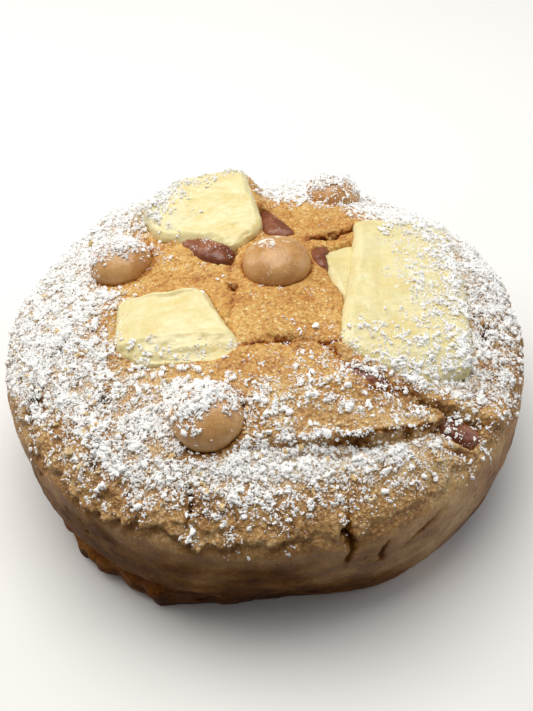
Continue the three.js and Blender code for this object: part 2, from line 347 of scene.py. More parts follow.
def add_node(
    tree: bpy.types.NodeTree,
    kind: str,
    settings: dict[str, object] | None = None,
    inputs: dict[str | int, object] | None = None,
    stops: Sequence[tuple[float, str]] = (),
) -> bpy.types.Node:
    """Adds a shader node.

    Args:
        tree: The material's node tree.
        kind: The node's type.
        settings: Its own settings by name.
        inputs: Its inputs by name or number; an output socket is linked, anything else is set.
        stops: A colour ramp's places and sRGB colours.

    Returns:
        The node.
    """
    node = tree.nodes.new(kind)
    for name, value in (settings or {}).items():
        setattr(node, name, value)
    for name, value in (inputs or {}).items():
        if isinstance(value, bpy.types.NodeSocket):
            tree.links.new(value, node.inputs[name])
        else:
            node.inputs[name].default_value = value
    for index, (place, colour) in enumerate(stops):
        elements = node.color_ramp.elements
        element = elements[index] if index < 2 else elements.new(place)
        element.position = place
        element.color = linear(colour)
    return node


def new_material(
    name: str, **noises: tuple[float, float]
) -> tuple[bpy.types.Material, bpy.types.NodeTree, bpy.types.Node, dict[str, bpy.types.NodeSocket]]:
    """Starts a material.

    Args:
        name: The material's name.
        noises: The noise patterns that it needs, each with its size in millimetres and its detail.

    Returns:
        The material, its node tree, its Principled shader, and the object coordinates ("place") and
        the noise patterns by name.
    """
    material = bpy.data.materials.new(name)
    material.use_nodes = True
    tree = material.node_tree
    place = add_node(tree, "ShaderNodeTexCoord").outputs["Object"]
    patterns = {"place": place}
    for pattern, (size, detail) in noises.items():
        inputs = {"Vector": place, "Scale": per_metre(size), "Detail": detail, "Roughness": 0.55}
        patterns[pattern] = add_node(tree, "ShaderNodeTexNoise", inputs=inputs).outputs["Fac"]
    return material, tree, tree.nodes["Principled BSDF"], patterns


@dataclass(frozen=True)
class BakedCrust:
    """Baked lemon cookie dough: golden in the middle, beige at the rim and brown down the side, the
    last partly as painted shade.

    Its skin is a fine buttery crumb, with painted light and shade in its colour: the grains are painted
    lighter and the pores between them darker. Sizes are in millimetres. golden and beige are its colours
    in the middle and outside, from hardly baked to scorched, and their dark end also holds painted shade.
    """

    mottle: float = 4.0
    grain: float = 0.42
    pore: float = 0.2
    crumb: float = 0.7
    streak: float = 6.0
    speck: float = 0.3
    golden: tuple[tuple[float, str], ...] = (
        (0.0, "#fbe6b2"), (1.0, "#2a1208"), (0.2, "#efc677"), (0.36, "#dba352"), (0.5, "#c28038"),
        (0.64, "#9a5423"), (0.8, "#5c2c12"),
    )
    beige: tuple[tuple[float, str], ...] = (
        (0.0, "#ecd5a6"), (1.0, "#1c0b02"), (0.2, "#dcb880"), (0.36, "#c29355"), (0.5, "#9d6e35"),
        (0.64, "#744819"), (0.8, "#482608"),
    )

    def material(self) -> bpy.types.Material:
        """Makes the crust's material, which reads how baked each place is with its painted shade, and how
        golden, open and dusty it is.

        Returns:
            The material.
        """
        material, tree, shader, patterns = new_material(
            "baked_lemon_dough",
            grain=(self.grain, 3.0), mottle=(self.mottle, 4.0),
            pore=(self.pore, 2.0), speck=(self.speck, 4.0),
        )
        place, grain, pore = patterns["place"], patterns["grain"], patterns["pore"]
        # The first of these attributes holds how baked each place is together with painted shade: in the
        # cracks, under the ledges, round the drops and down the wall.
        bake_and_shade, gold, veil, open_crumb = (
            add_node(tree, "ShaderNodeAttribute", {"attribute_name": name}).outputs["Fac"]
            for name in ("bake_and_shade", "gold", "veil", "open_crumb")
        )
        cells = add_node(
            tree, "ShaderNodeTexVoronoi", inputs={"Vector": place, "Scale": per_metre(self.crumb)}
        )
        crumb = cells.outputs["Distance"]
        sums = {"operation": "MULTIPLY_ADD"}

        # The crust is darker on some patches and in flat streaks along the wall. Where the crumb is open, its
        # colour holds painted shade in the pores and between the grains and painted light on the grains, and
        # a few crystals and crumbs stay pale.
        chance = add_node(tree, "ShaderNodeSeparateColor", inputs={0: cells.outputs["Color"]}).outputs[0]
        rare = add_node(
            tree, "ShaderNodeMapRange", inputs={"Value": chance, "From Min": 0.8, "From Max": 0.9}
        ).outputs["Result"]
        pale = add_node(
            tree, "ShaderNodeMapRange",
            inputs={"Value": crumb, "From Min": 0.42, "From Max": 0.2, "To Min": 0.0, "To Max": rare},
        ).outputs["Result"]
        flat = add_node(
            tree, "ShaderNodeMapping", inputs={"Vector": place, "Scale": (1.0, 1.0, 2.6)}
        ).outputs["Vector"]
        streak = add_node(
            tree, "ShaderNodeTexNoise",
            inputs={"Vector": flat, "Scale": per_metre(self.streak), "Detail": 5.0, "Roughness": 0.55},
        ).outputs["Fac"]
        darkness = add_node(tree, "ShaderNodeMath", {"operation": "SUBTRACT"}, {0: bake_and_shade, 1: 0.25}).outputs[0]
        darkness = add_node(tree, "ShaderNodeMath", sums, {0: patterns["mottle"], 1: 0.5, 2: darkness}).outputs[0]
        fine = 0.262  # keeps the patterns' sum at 0 on average
        for pattern, share in ((grain, -0.5), (pore, -0.34), (crumb, 0.28), (pale, -0.28)):
            fine = add_node(tree, "ShaderNodeMath", sums, {0: pattern, 1: share, 2: fine}).outputs[0]
        darkness = add_node(tree, "ShaderNodeMath", sums, {0: fine, 1: open_crumb, 2: darkness}).outputs[0]
        shut = add_node(tree, "ShaderNodeMath", sums, {0: open_crumb, 1: -0.5, 2: 0.5}).outputs[0]
        about = add_node(tree, "ShaderNodeMath", {"operation": "SUBTRACT"}, {0: streak, 1: 0.5}).outputs[0]
        darkness = add_node(tree, "ShaderNodeMath", sums, {0: about, 1: shut, 2: darkness}).outputs[0]
        middle, outer = (
            add_node(tree, "ShaderNodeValToRGB", inputs={"Fac": darkness}, stops=stops).outputs["Color"]
            for stops in (self.golden, self.beige)
        )
        crust = add_node(
            tree, "ShaderNodeMix", {"data_type": "RGBA"}, {0: gold, 6: outer, 7: middle}
        ).outputs[2]

        # Sugar too fine to be grains whitens the crust where it is dusted.
        dusty = add_node(tree, "ShaderNodeMath", sums, {0: veil, 1: 0.5, 2: patterns["speck"]}).outputs[0]
        cover = add_node(
            tree, "ShaderNodeMapRange", {"interpolation_type": "SMOOTHSTEP"},
            {"Value": dusty, "From Min": 0.76, "From Max": 1.08, "To Min": 0.0, "To Max": 0.66},
        ).outputs["Result"]
        colour = add_node(
            tree, "ShaderNodeMix", {"data_type": "RGBA"}, {0: cover, 6: crust, 7: linear("#fbf3e2")}
        ).outputs[2]
        tree.links.new(colour, shader.inputs["Base Color"])

        # The butter in the crumb shines a little, most where the crust is hardly baked.
        shine = add_node(
            tree, "ShaderNodeMapRange", inputs={"Value": pore, "To Min": 0.25, "To Max": 0.75}
        ).outputs["Result"]
        tree.links.new(shine, shader.inputs["Roughness"])
        buttery = add_node(
            tree, "ShaderNodeMapRange",
            inputs={"Value": bake_and_shade, "From Min": 0.42, "From Max": 0.62, "To Min": 0.6, "To Max": 0.04},
        ).outputs["Result"]
        tree.links.new(buttery, shader.inputs["Specular IOR Level"])
        shader.inputs["Subsurface Weight"].default_value = 0.06
        shader.inputs["Subsurface Radius"].default_value = (1.2 * MM, 0.6 * MM, 0.3 * MM)
        shader.inputs["Subsurface Scale"].default_value = 1.0

        pits = add_node(
            tree, "ShaderNodeBump", inputs={"Strength": 0.7, "Distance": 0.12 * MM, "Height": pore}
        ).outputs["Normal"]
        coarse = add_node(
            tree, "ShaderNodeBump",
            inputs={"Strength": open_crumb, "Distance": 0.45 * MM, "Height": grain, "Normal": pits},
        ).outputs["Normal"]
        crumbs = add_node(
            tree, "ShaderNodeBump", {"invert": True},
            {"Strength": open_crumb, "Distance": 0.22 * MM, "Height": crumb, "Normal": coarse},
        ).outputs["Normal"]
        tree.links.new(crumbs, shader.inputs["Normal"])
        return material


@dataclass(frozen=True)
class Chocolate:
    """Chocolate that softened in the oven and set again: waxy and satin, with faint ripples.

    light and dark are its colours, glow how much light runs in it, and dull how rough it is. ripple,
    pit, cloud and fleck are the sizes of its patterns in millimetres.
    """

    name: str
    light: str
    dark: str
    glow: float
    dull: float
    ripple: float
    pit: float
    cloud: float = 5.0
    fleck: float = 0.9

    def material(self) -> bpy.types.Material:
        """Makes the chocolate's material.

        Returns:
            The material.
        """
        material, tree, shader, patterns = new_material(
            self.name,
            cloud=(self.cloud, 3.0), ripple=(self.ripple, 3.0),
            pit=(self.pit, 2.0), fleck=(self.fleck, 5.0),
        )
        ripple, pit = patterns["ripple"], patterns["pit"]
        sums = {"operation": "MULTIPLY_ADD"}
        tone = add_node(tree, "ShaderNodeMath", sums, {0: pit, 1: 0.35, 2: patterns["cloud"]}).outputs[0]
        colour = add_node(
            tree, "ShaderNodeValToRGB", inputs={"Fac": tone}, stops=[(0.5, self.dark), (0.8, self.light)]
        ).outputs["Color"]
        # The finest sugar lies on it as a soft film, in flecks.
        film = add_node(tree, "ShaderNodeAttribute", {"attribute_name": "film"}).outputs["Fac"]
        dusty = add_node(tree, "ShaderNodeMath", sums, {0: film, 1: 0.5, 2: patterns["fleck"]}).outputs[0]
        cover = add_node(
            tree, "ShaderNodeMapRange", {"interpolation_type": "SMOOTHSTEP"},
            {"Value": dusty, "From Min": 0.76, "From Max": 0.92, "To Min": 0.0, "To Max": 0.85},
        ).outputs["Result"]
        colour = add_node(
            tree, "ShaderNodeMix", {"data_type": "RGBA"}, {0: cover, 6: colour, 7: linear("#fffdf6")}
        ).outputs[2]
        tree.links.new(colour, shader.inputs["Base Color"])
        rough_part = add_node(
            tree, "ShaderNodeMapRange",
            inputs={"Value": ripple, "To Min": self.dull - 0.12, "To Max": self.dull + 0.12},
        ).outputs["Result"]
        duller = add_node(tree, "ShaderNodeMath", sums, {0: cover, 1: 0.4, 2: rough_part}).outputs[0]
        tree.links.new(duller, shader.inputs["Roughness"])
        shader.inputs["IOR"].default_value = 1.46
        shader.inputs["Subsurface Weight"].default_value = self.glow
        shader.inputs["Subsurface Radius"].default_value = (2.0 * MM, 1.3 * MM, 0.7 * MM)
        shader.inputs["Subsurface Scale"].default_value = 1.0
        flecks = add_node(
            tree, "ShaderNodeBump", inputs={"Strength": 0.6, "Distance": 0.12 * MM, "Height": cover}
        ).outputs["Normal"]
        fine = add_node(
            tree, "ShaderNodeBump",
            inputs={"Strength": 0.4, "Distance": 0.08 * MM, "Height": pit, "Normal": flecks},
        ).outputs["Normal"]
        waves = add_node(
            tree, "ShaderNodeBump",
            inputs={"Strength": 0.5, "Distance": 0.25 * MM, "Height": ripple, "Normal": fine},
        ).outputs["Normal"]
        tree.links.new(waves, shader.inputs["Normal"])
        return material


# White chocolate: cocoa butter and milk give it a pale butter yellow that light runs into.
WHITE_CHOCOLATE = Chocolate("white_chocolate", "#eee4b4", "#e4d394", 0.2, 0.22, 1.4, 0.5)
# Caramel chocolate: milk chocolate with browned milk, tan and satin.
CARAMEL_CHOCOLATE = Chocolate("caramel_chocolate", "#d2a46c", "#ba8750", 0.12, 0.28, 2.4, 0.6)
# Milk chocolate: dulled by the oven, reddish where the crust has torn round it.
MILK_CHOCOLATE = Chocolate("milk_chocolate", "#9d6243", "#6b351f", 0.08, 0.28, 1.6, 0.45)


@dataclass(frozen=True)
class SiftedSugar:
    """Icing sugar: crystals too fine to see, which scatter light nearly without loss."""

    grit: float = 0.16

    def material(self) -> bpy.types.Material:
        """Makes the sugar's material, with its grit drawn coarser than real so that it shows.

        Returns:
            The material.
        """
        material, tree, shader, patterns = new_material("icing_sugar", grit=(self.grit, 1.0))
        grit = patterns["grit"]
        stops = [(0.3, "#fefdfb"), (0.7, "#ffffff")]
        colour = add_node(tree, "ShaderNodeValToRGB", inputs={"Fac": grit}, stops=stops).outputs["Color"]
        tree.links.new(colour, shader.inputs["Base Color"])
        dull = add_node(
            tree, "ShaderNodeMapRange", inputs={"Value": grit, "To Min": 0.8, "To Max": 1.0}
        ).outputs["Result"]
        tree.links.new(dull, shader.inputs["Roughness"])
        shader.inputs["Specular IOR Level"].default_value = 0.3
        return material


@dataclass(frozen=True)
class MattePaint:
    """Pale matte paint, for the studio floor."""

    dark: str = "#f4f3f1"
    light: str = "#f7f6f5"
    cloud: float = 90.0

    def material(self) -> bpy.types.Material:
        """Makes the floor's material, with a breath of unevenness.

        Returns:
            The material.
        """
        material, tree, shader, patterns = new_material("matte_floor_paint", cloud=(self.cloud, 2.0))
        stops = [(0.0, self.dark), (1.0, self.light)]
        colour = add_node(
            tree, "ShaderNodeValToRGB", inputs={"Fac": patterns["cloud"]}, stops=stops
        ).outputs["Color"]
        tree.links.new(colour, shader.inputs["Base Color"])
        shader.inputs["Roughness"].default_value = 0.9
        return material


# ---------------------------------------------------------------------------------------------------
# Dough


@dataclass(frozen=True)
class Ledge:
    """A place where one lump of crust stands over the next: a run in plan, high on its left.

    step is the drop over it, lip how far the upper lump leans out, dark how deep the recess under it
    is, and reach how far to each side the crust bends to it.
    """

    run: tuple[tuple[float, float], ...]
    step: float
    lip: float
    dark: float
    reach: float = 3.0


@dataclass(frozen=True)
class Crack:
    """An open crack in the crust: a run in plan, how deep it is and half its width."""

    run: tuple[tuple[float, float], ...]
    depth: float
    half: float


def along(
    points: np.ndarray, run: Sequence[tuple[float, float]]
) -> tuple[np.ndarray, np.ndarray, np.ndarray]:
    """Measures points against a run of straight stretches in a plane.

    Args:
        points: Points, of which the first two columns are used.
        run: The run's corners.

    Returns:
        How far each point is from the run, left of it positive; how far along it that is, from 0
        to 1; and the direction to the run's right there.
    """
    corners = np.array(run, float)
    lengths = np.linalg.norm(np.diff(corners, axis=0), axis=1)
    starts = np.concatenate([[0.0], np.cumsum(lengths)])
    best = np.full(len(points), 1e9)
    signed = np.zeros(len(points))
    share = np.zeros(len(points))
    right = np.zeros((len(points), 2))
    for index, length in enumerate(lengths):
        start, direction = corners[index], (corners[index + 1] - corners[index]) / length
        arm = points[:, :2] - start
        travel = np.clip(arm @ direction, 0.0, length)
        off = arm - travel[:, None] * direction
        distance = np.linalg.norm(off, axis=1)
        side = direction[0] * arm[:, 1] - direction[1] * arm[:, 0]
        nearer = distance < best
        best[nearer] = distance[nearer]
        signed[nearer] = (distance * np.where(side >= 0, 1.0, -1.0))[nearer]
        share[nearer] = ((starts[index] + travel) / starts[-1])[nearer]
        right[nearer] = (direction[1], -direction[0])
    return signed, share, right


def ends_fade(share: np.ndarray, margin: float = 0.05, power: float = 0.5) -> np.ndarray:
    """Fades a ledge, crack or ridge out at its two ends, by how far along it each point is."""
    return np.sin(np.pi * np.clip(share, margin, 1.0 - margin)) ** power


# Broad swellings of the crust: the front lump, the middle, and along the near edge of the right slab.
SWELLINGS: tuple[Patch, ...] = (
    ((9, -26), (15, 8), 0.9), ((4, 2), (9, 11), 0.5), ((32, -24.4), (7, 2.2), 0.9),
)

LEDGES = (
    # The front lump over the shoulder: low on the left, and a dark overhang towards the right.
    Ledge(((-6, -34.6), (-2, -34), (3, -33.8), (8, -33.6), (13, -33)), 0.8, 0.4, 0.25, 2.2),
    Ledge(((9, -33.8), (14, -33), (19, -31.6), (23.6, -30.4), (27, -29), (29, -27.2)), 2.0, 1.3, 2.1, 2.4),
    # The back right crust over the gap in front of it.
    Ledge(((9.6, 13.2), (13, 14.4), (16, 16), (19.4, 17.6)), 1.2, 0.7, 1.5, 1.8),
    # The crust under the right slab, over the sunk corner.
    Ledge(((22, -23.4), (27, -25.4), (32, -26.6), (37, -26.4), (41, -25)), 0.9, 0.7, 0.7, 1.6),
    # The front lump over the crack across the middle, from right to left.
    Ledge(
        ((14.4, -16.6), (11, -16), (6.6, -15.6), (2.4, -14.6), (-1, -15.6), (-4, -15.8)), 0.9, 0.5, 1.6, 1.4
    ),
    # The left crust over the middle plate.
    Ledge(((-5.2, -12), (-5.6, -8), (-5, -4), (-4.4, -0.4), (-5.4, 3), (-4.6, 6)), 0.35, 0.3, 0.5, 1.3),
)

CRACKS = (
    Crack(((-11.6, -37), (-12.0, -39), (-11.4, -41), (-12.2, -44)), 1.8, 0.42),
    Crack(((-4.9, -0.1), (-4.4, -0.9), (-4.8, -1.8)), 2.4, 0.4),
    Crack(((0.6, -15.4), (3.4, -14.8), (5.4, -15.4)), 1.4, 0.5),
    Crack(((10.4, -16), (12.2, -17.6), (12.4, -19.4)), 1.6, 0.6),
    Crack(((-5, 1.5), (-8, 2.6), (-10.5, 1.8), (-12.4, 3.2), (-15.4, 2.6)), 0.5, 0.4),
    Crack(((-15, 9), (-14, 5.5), (-16.5, 2.4), (-19, 1.6)), 0.45, 0.4),
    Crack(((-10.4, 8.8), (-9.4, 5.4), (-11, 2.2)), 0.4, 0.4),
    Crack(((17.9, -34.2), (18.5, -35.6), (17.9, -37.2)), 2.0, 0.6),
    Crack(((22.4, -34), (23.6, -37.4), (23, -41)), 0.8, 0.45),
    Crack(((27.4, -31.6), (29.4, -32.6), (32.8, -32.2)), 1.0, 0.5),
    Crack(((20, -20.6), (23.6, -23.4), (26, -26.6), (27.4, -29.6)), 0.7, 0.5),
    Crack(((-24.6, -20), (-26.4, -22), (-26, -24.6)), 1.0, 0.6),
    Crack(((-27.6, -29), (-26.4, -31.4), (-27.4, -34)), 1.1, 0.6),
    Crack(((-34, -8), (-34.6, -11)), 1.2, 0.7),
    Crack(((-38, -15), (-39, -18), (-39.6, -21)), 1.6, 0.9),
    Crack(((38.4, -5), (39.4, -8), (38.8, -11)), 1.2, 0.7),
    Crack(((39.6, 6), (40.6, 3), (39.8, 0)), 1.0, 0.7),
)

# Places where the milk chocolate inside has stained the crust, as middles and radii in plan.
STAINS = (
    ((-34.4, -10), (1.8, 1.2)), ((-38.4, -16), (1.2, 2.6)), ((-26, -22.6), (1.4, 1.6)),
    ((-27, -31), (0.9, 3.0)), ((-31, -17), (1.0, 1.4)), ((39.4, -3), (1.2, 1.4)), ((40, -8.6), (1.0, 1.8)),
    ((20, -24.6), (3.4, 0.9)), ((36.5, -22), (2.4, 0.9)),
)

# Places that the oven browned less: the crumb block and the sunk corner at the right of the front.
PALER: tuple[Patch, ...] = (((25, -34), (10, 6), 0.24), ((33, -22.5), (9, 3.4), 0.1))

# Places where the crust broke into rubble, as middles and radii in plan.
RUBBLE = (((31, -25), (9, 5)), ((42, -6), (5, 10)), ((15, 15), (5, 3)))

# Cracks in the wall: runs of millimetres round it from the front towards the right, and of heights.
WALL_CRACKS = (
    Crack(((13.6, 28.5), (12.6, 25.4), (13.2, 22.8), (12.2, 18.6)), 1.4, 0.42),
    Crack(((12.3, 25.0), (13.0, 22.8)), 2.6, 0.8),
    Crack(((18.6, 21.0), (17.8, 18.4), (18.4, 15.6)), 1.0, 0.4),
    Crack(((22.5, 17.6), (26, 19.6), (30, 21)), 0.5, 0.5),
    Crack(((-12.4, 25.5), (-12.8, 23.2)), 1.2, 0.4),
)


@dataclass
class DoughRound:
    """The round of dough: a domed top crust that broke into lumps, and a side that the ring shaped.

    Heights are from the base and angles round the axis, where 270 degrees is the front. A pair of
    heights is where something starts to show and where it shows in full.
    """

    voxel: float = 0.34
    triangles: int = 198_000
    base_cut: float = 0.4
    # How far from a slab the crust rises to it, and only above this height.
    slab_reach: float = 5.0
    slab_foot: float = 26.0
    # How far the crust stays under the top of a slab or a chunk that lies bare.
    under_slab: float = 0.35
    under_chunk: float = 1.0
    top: tuple[float, float] = (20.0, 27.0)
    bare_wall: tuple[float, float] = (25.5, 22.5)
    baked_wall: tuple[float, float] = (25.5, 21.5)
    # The torn lower edge of the crust: its height, the way it is most torn, how far it stands proud of
    # the wall and how far the wall is tucked in under it.
    edge_height: float = 25.0
    edge_way: float = 243.0
    proud: float = 1.3
    tuck: float = 1.2
    # The run-out skirt at the foot: its height and its middle.
    flap_height: float = 6.0
    flap_way: float = 226.0
    # How far the crust is baked, from 0 to 1, and how much darker the wall, its foot and the rim are: the
    # rim from the bake, the wall and its foot partly from the bake and partly as painted shade.
    baked: float = 0.36
    bake_and_shade_more: tuple[float, float, float] = (0.22, 0.22, 0.05)
    # How much darker the crust is made: by painted shade in the cracks and under the ledges, by the
    # stains, and by a painted contact shadow round the drops.
    recess_shade_more: float = 0.5
    stain_more: float = 0.42
    drop_shadow_more: float = 0.26
    # The middle of the golden part, and the radii round it where this starts and where it is full.
    golden_middle: tuple[float, float] = (2.0, 6.0)
    golden_reach: tuple[float, float] = (46.0, 16.0)

    def build(
        self,
        node: bpy.types.Object,
        slabs: dict[str, bpy.types.Object],
        chunks: dict[str, bpy.types.Object],
        drops: Sequence[bpy.types.Object],
    ) -> bpy.types.Object:
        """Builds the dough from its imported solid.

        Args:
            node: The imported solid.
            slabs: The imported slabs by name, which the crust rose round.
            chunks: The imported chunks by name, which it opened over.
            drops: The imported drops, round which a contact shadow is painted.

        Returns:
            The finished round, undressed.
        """
        piece = copy_of(node, "baked_round")
        remesh(piece, self.voxel)
        soften(piece, 5)
        for name, slab in slabs.items():
            self.rise_round(piece, slab, SLAB_FORMS[name].shows)
        self.break_crust(piece)
        for topping in slabs.values():
            self.open_over(piece, topping, self.under_slab, 1.0)
        for name, chunk in chunks.items():
            self.open_over(piece, chunk, self.under_chunk, CHUNK_FORMS[name].opening)
        self.shape_side(piece)
        remesh(piece, self.voxel)
        self.roughen(piece)
        self.flatten_base(piece)
        thin_to(piece, self.triangles)
        shade_smooth(piece)
        self.mark_bake_and_shade(piece, [Seat.of(drop) for drop in drops])
        return piece

    def rise_round(self, piece: bpy.types.Object, slab: bpy.types.Object, shows: float) -> None:
        """Raises the crust close round a slab.

        Args:
            piece: The dough.
            slab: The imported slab.
            shows: How much of the slab's edge still shows over the crust.
        """
        corners = points_of(slab)
        tree = BVHTree.FromPolygons(corners.tolist(), [face.vertices[:] for face in slab.data.polygons])
        points = points_of(piece)
        low, high = corners.min(axis=0) - self.slab_reach, corners.max(axis=0) + self.slab_reach
        near = (points[:, :2] > low[:2]).all(axis=1) & (points[:, :2] < high[:2]).all(axis=1)
        near &= points[:, 2] > self.slab_foot
        high_above, brim = high[2] + 15.0, 0.6
        for index in np.flatnonzero(near):
            x, y, z = points[index]
            rim = tree.find_nearest(Vector((x, y, high_above)))[0]
            away = math.hypot(rim.x - x, rim.y - y)
            gap = rim.z - shows - z
            if 0.05 < away < self.slab_reach and gap > 0:
                share = 1.0 - max(0.0, away - brim) / (self.slab_reach - brim)
                points[index, 2] += gap * share * share * (3 - 2 * share)
        put_points(piece, points)

    @staticmethod
    def open_over(piece: bpy.types.Object, topping: bpy.types.Object, sunk: float, wider: float) -> None:
        """Lowers the crust wherever it covers a slab or a chunk, so that this lies bare.

        Args:
            piece: The dough.
            topping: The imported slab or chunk.
            sunk: How far under its top the crust stays.
            wider: How many times as wide as the topping the opening is.
        """
        corners = points_of(topping)
        middle = (corners.min(axis=0) + corners.max(axis=0)) / 2
        corners[:, :2] = middle[:2] + wider * (corners[:, :2] - middle[:2])
        tree = BVHTree.FromPolygons(corners.tolist(), [face.vertices[:] for face in topping.data.polygons])
        points = points_of(piece)
        low, high = corners.min(axis=0), corners.max(axis=0)
        over = (points[:, :2] > low[:2]).all(axis=1) & (points[:, :2] < high[:2]).all(axis=1)
        over &= points[:, 2] > low[2]
        for index in np.flatnonzero(over):
            x, y, z = points[index]
            top = tree.ray_cast(Vector((x, y, high[2] + 9.0)), Vector((0, 0, -1)))[0]
            if top is not None and z > top.z - sunk:
                points[index, 2] = top.z - sunk
        put_points(piece, points)

    @staticmethod
    def wander(points: np.ndarray) -> np.ndarray:
        """How far each point's ledges and cracks stray from their straight stretches, in plan."""
        plan = points[:, :2]
        return 0.5 * np.column_stack([noise(plan, 2.2, 15), noise(plan, 2.2, 16)])

    def break_crust(self, piece: bpy.types.Object) -> None:
        """Raises the lumps over their ledges and opens the cracks.

        Args:
            piece: The dough.
        """
        points = points_of(piece)
        top = smoothstep(*self.top, points[:, 2])
        wander = self.wander(points)
        for middle, radii, height in SWELLINGS:
            points[:, 2] += top * height * hill(points, middle, radii)
        for ledge in LEDGES:
            signed, share, right = along(points[:, :2] + wander, ledge.run)
            fade = top * ends_fade(share, margin=0.02)
            near = np.exp(-((signed / ledge.reach) ** 2))
            high = smoothstep(-0.25, 0.35, signed)
            points[:, 2] += ledge.step * fade * near * (0.4 * high - 0.6 * (1 - high))
            lean = ledge.lip * fade * np.exp(-(((signed - 0.8) / 1.2) ** 2)) * (signed > -0.4)
            points[:, :2] += lean[:, None] * right
            points[:, 2] -= ledge.dark * fade * np.exp(-(((signed + 0.45) / 0.45) ** 2))
        for crack in CRACKS:
            signed, share, _ = along(points[:, :2] + wander, crack.run)
            fade = top * ends_fade(share)
            brims = np.exp(-(((np.abs(signed) - 2 * crack.half) / crack.half) ** 2))
            points[:, 2] -= crack.depth * fade * np.exp(-((signed / crack.half) ** 2))
            points[:, 2] += 0.25 * crack.depth * fade * brims
        put_points(piece, points)

    def shape_side(self, piece: bpy.types.Object) -> None:
        """Gives the side its torn crust edge, and the foot its run-out skirt.

        Args:
            piece: The dough.
        """
        points = points_of(piece)
        radius, angle, height = radius_of(points), angle_of(points), points[:, 2]
        circle = np.stack([np.cos(np.radians(angle)), np.sin(np.radians(angle))], axis=1) * RING
        outer = smoothstep(34.0, 40.0, radius)

        # The crust's torn lower edge stands proud of the wall that the ring left smooth.
        edge = self.edge_height + 1.5 * noise(circle, 8.0, 3) + 1.0 * noise(circle, 2.6, 4)
        edge += 0.5 * noise(circle, 1.2, 5)
        front = 0.25 + 0.75 * bulge(angle, self.edge_way, 30)
        proud = smoothstep(edge - 0.35, edge + 0.35, height) * smoothstep(34, 27, height)
        tuck = np.exp(-(((height - edge + 0.9) / 0.8) ** 2))
        crumbly = np.clip(1.0 + 0.9 * noise(points, 1.6, 6) + 0.6 * noise(points, 0.9, 7), 0.0, 1.7)
        out = outer * front * (self.proud * proud * crumbly - self.tuck * tuck)

        # The skirt is a torn flap with a dark slit over it.
        skirt = bulge(angle, self.flap_way, 26)
        flap = self.flap_height + 1.4 * noise(circle, 7.0, 8)
        slit = np.exp(-(((height - flap - 1.6) / 0.75) ** 2))
        ragged = 1.7 * noise(circle, 6.0, 9) + 1.1 * noise(circle, 2.8, 10) + 0.9 * noise(points, 3.4, 11)
        out += outer * skirt * (smoothstep(flap + 1.0, flap - 0.4, height) * (0.3 + ragged) - 0.8 * slit)
        out -= outer * self.wall_cracks(points)[0]
        points[:, :2] *= (1 + out / np.maximum(radius, 1.0))[:, None]
        put_points(piece, points)

    @staticmethod
    def wall_cracks(points: np.ndarray) -> tuple[np.ndarray, np.ndarray]:
        """Finds the cracks in the wall.

        Args:
            points: Points in millimetres, one row each.

        Returns:
            How deep the cracks are at each point, and how strongly they darken it.
        """
        turn = (np.degrees(np.arctan2(points[:, 1], points[:, 0])) - 90) % 360 - 180
        flat = np.column_stack([np.radians(turn) * RING, points[:, 2]])
        flat += 0.4 * np.column_stack([noise(flat, 1.8, 17), noise(flat, 1.8, 18)])
        depth, dark = np.zeros(len(points)), np.zeros(len(points))
        for crack in WALL_CRACKS:
            signed, share, _ = along(flat, crack.run)
            fade = ends_fade(share, margin=0.08) * np.exp(-((signed / crack.half) ** 2))
            depth = np.maximum(depth, crack.depth * fade)
            dark = np.maximum(dark, min(1.0, crack.depth) * fade)
        return depth, dark

    def roughen(self, piece: bpy.types.Object) -> None:
        """Covers the skin with its lumps, crumb and pores, each as strong as the place shows it.

        Args:
            piece: The dough.
        """
        points, normals = points_of(piece), normals_of(piece)
        radius, height = radius_of(points), points[:, 2]
        wall = smoothstep(*self.bare_wall, height)
        rim = smoothstep(28.0, 42.0, radius) * (1 - wall)
        rubble = np.max([hill(points, middle, radii) for middle, radii in RUBBLE], axis=0) * (1 - wall)
        broad = rough(points, 7.0, 20, 2)
        lumpy = rough(points, 2.6, 30, 3)
        crumb = np.abs(noise(points, 1.5, 40)) + 0.6 * np.abs(noise(points, 0.9, 41))
        move = broad * (0.25 + 0.15 * rim) + lumpy * (0.1 + 0.06 * rim + 0.4 * rubble - 0.04 * wall)
        move += crumb * (0.26 + 0.2 * rubble - 0.18 * wall)
        pores = smoothstep(0.45, 0.9, noise(points, 1.5, 50)) * smoothstep(0.0, 0.5, noise(points, 9.0, 51))
        move -= 0.6 * pores * (0.4 + 0.6 * np.maximum(rim, wall))
        creases = np.abs(noise(points, 3.4, 60) + 0.3 * noise(points, 1.1, 61))
        bend = np.exp(-((creases / 0.07) ** 2)) * (1 - wall)
        move -= 0.3 * bend * smoothstep(0.0, 0.4, noise(points, 12.0, 62))
        move *= smoothstep(0.0, 1.5, height)
        put_points(piece, points + normals * move[:, None])

    def flatten_base(self, piece: bpy.types.Object) -> None:
        """Cuts the rough underside off and closes it with one flat face at the base.

        Args:
            piece: The dough.
        """
        with edit_mode(piece):
            bpy.ops.mesh.bisect(
                plane_co=(0, 0, self.base_cut * MM), plane_no=(0, 0, 1), clear_inner=True, use_fill=True
            )
        points = points_of(piece)
        points[points[:, 2] < self.base_cut + 0.01, 2] = 0.0
        put_points(piece, points)

    def mark_bake_and_shade(self, piece: bpy.types.Object, seats: Sequence[Seat]) -> None:
        """Stores how far each place is baked, together with its painted shade, how golden, how open its crumb
        is, and how dusty.

        Args:
            piece: The dough.
            seats: Where the drops stand, round whose feet a contact shadow is painted.
        """
        points, normals = points_of(piece), normals_of(piece)
        radius, angle, height = radius_of(points), angle_of(points), points[:, 2]
        side, foot, rim = self.bake_and_shade_more
        bake_and_shade = self.baked + 0.07 * noise(points, 9.0, 70)
